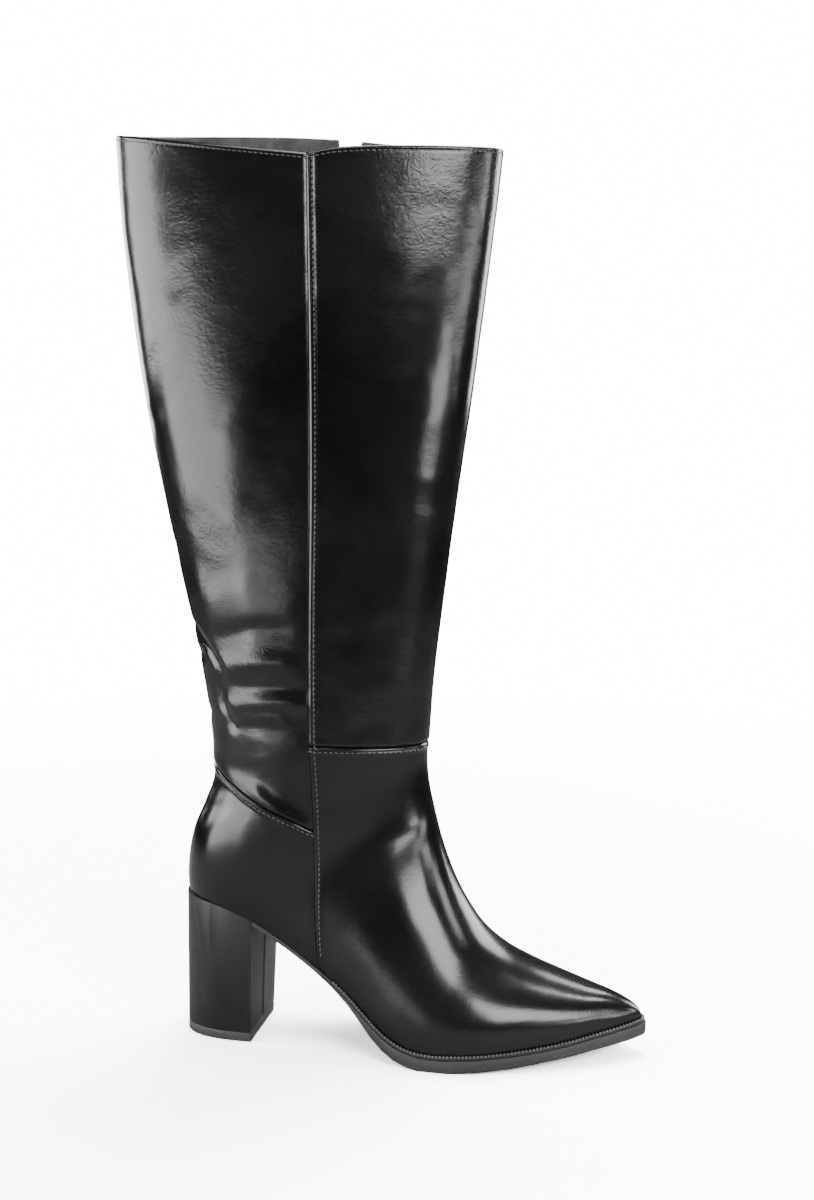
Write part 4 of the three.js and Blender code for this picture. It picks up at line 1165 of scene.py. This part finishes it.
bm = bmesh.new()
bmesh.ops.create_grid(bm, x_segments=2, y_segments=2, size=stageLook["size"])
stageMesh = bpy.data.meshes.new("stage")
bm.to_mesh(stageMesh)
bm.free()
stageMesh.materials.append(floorMaterial)
stage = addObject("stage", stageMesh)

lights = [
    ("left_main", (-1.09, -0.2, 0.53), (0.0, 0.0, 0.42), 0.74, 0.64, 14),
    ("left_mid", (-0.84, -0.66, 0.3), (0.0, 0.0, 0.3), 0.4, 0.13, 1.5),
    ("left_low", (-0.72, -0.52, 0.12), (0.0, 0.0, 0.2), 0.75, 0.24, 4.5),
    ("left_floor", (-0.4, -0.82, 0.035), (0.0, 0.0, 0.25), 0.46, 0.07, 0.5),
    ("right_front", (0.79, -0.8, 0.67), (0.12, 0.0, 0.15), 0.72, 0.56, 18),
    ("right_low", (0.93, -0.52, 0.17), (0.1, 0.0, 0.3), 0.26, 0.14, 1.2),
    ("right_mid", (1.05, -0.24, 0.28), (0.1, 0.0, 0.3), 0.32, 0.13, 1.0),
    ("right_high", (1.12, 0.04, 0.5), (0.1, 0.0, 0.35), 0.24, 0.34, 2.2),
    ("top_front", (-0.2, -0.45, 1.4), (0.05, 0.0, 0.2), 0.5, 0.5, 7),
    ("overhead", (0.3, 0.6, 1.9), (0.1, 0.1, 0.0), 1.2, 0.8, 70),
    ("inner_left", (-0.92, 0.77, 0.5), (0.0, 0.0, 0.3), 0.4, 0.7, 9),
    ("inner_right", (0.9, 0.9, 0.5), (0.1, 0.0, 0.3), 0.5, 0.7, 12),
    ("inner_high", (0.2, 1.2, 1.0), (0.1, 0.0, 0.3), 0.7, 0.3, 8),
]
for name, place, target, width, height, power in lights:
    lamp = bpy.data.lights.new(name, "AREA")
    lamp.shape = "RECTANGLE"
    lamp.size = width
    lamp.size_y = height
    lamp.energy = power
    lampObject = addObject(name, lamp)
    lampObject.location = place
    lampObject.rotation_euler = (Vector(target) - Vector(place)).to_track_quat("-Z", "Y").to_euler()
    lampObject.visible_camera = False

world = bpy.data.worlds.new("studio")
world.use_nodes = True
skyNodes, skyLinks = world.node_tree.nodes, world.node_tree.links
sky = skyNodes["Background"]
sky.inputs["Color"].default_value = (1, 1, 1, 1)
sky.inputs["Strength"].default_value = stageLook["ambient"]
plainWhite = addNode(skyNodes, "Background", {"Color": (1, 1, 1, 1), "Strength": stageLook["farWhite"]})
rayKind = addNode(skyNodes, "LightPath")
chosen = addNode(skyNodes, "MixShader")
skyLinks.new(rayKind.outputs["Is Camera Ray"], chosen.inputs["Fac"])
skyLinks.new(sky.outputs[0], chosen.inputs[1])
skyLinks.new(plainWhite.outputs[0], chosen.inputs[2])
skyLinks.new(chosen.outputs[0], skyNodes["World Output"].inputs["Surface"])
bpy.context.scene.world = world

view = {"place": (0.2735, -0.9283, 0.375), "down": 8.6, "turn": 10.7, "lens": 56.4, "sensor": 36}
camera = bpy.data.cameras.new("camera")
camera.lens = view["lens"]
camera.sensor_width = view["sensor"]
camera.sensor_fit = "AUTO"
cameraObject = addObject("camera", camera)
cameraObject.location = view["place"]
cameraObject.rotation_euler = (math.radians(90 - view["down"]), 0, math.radians(view["turn"]))
bpy.context.scene.camera = cameraObject

print("scene complete")
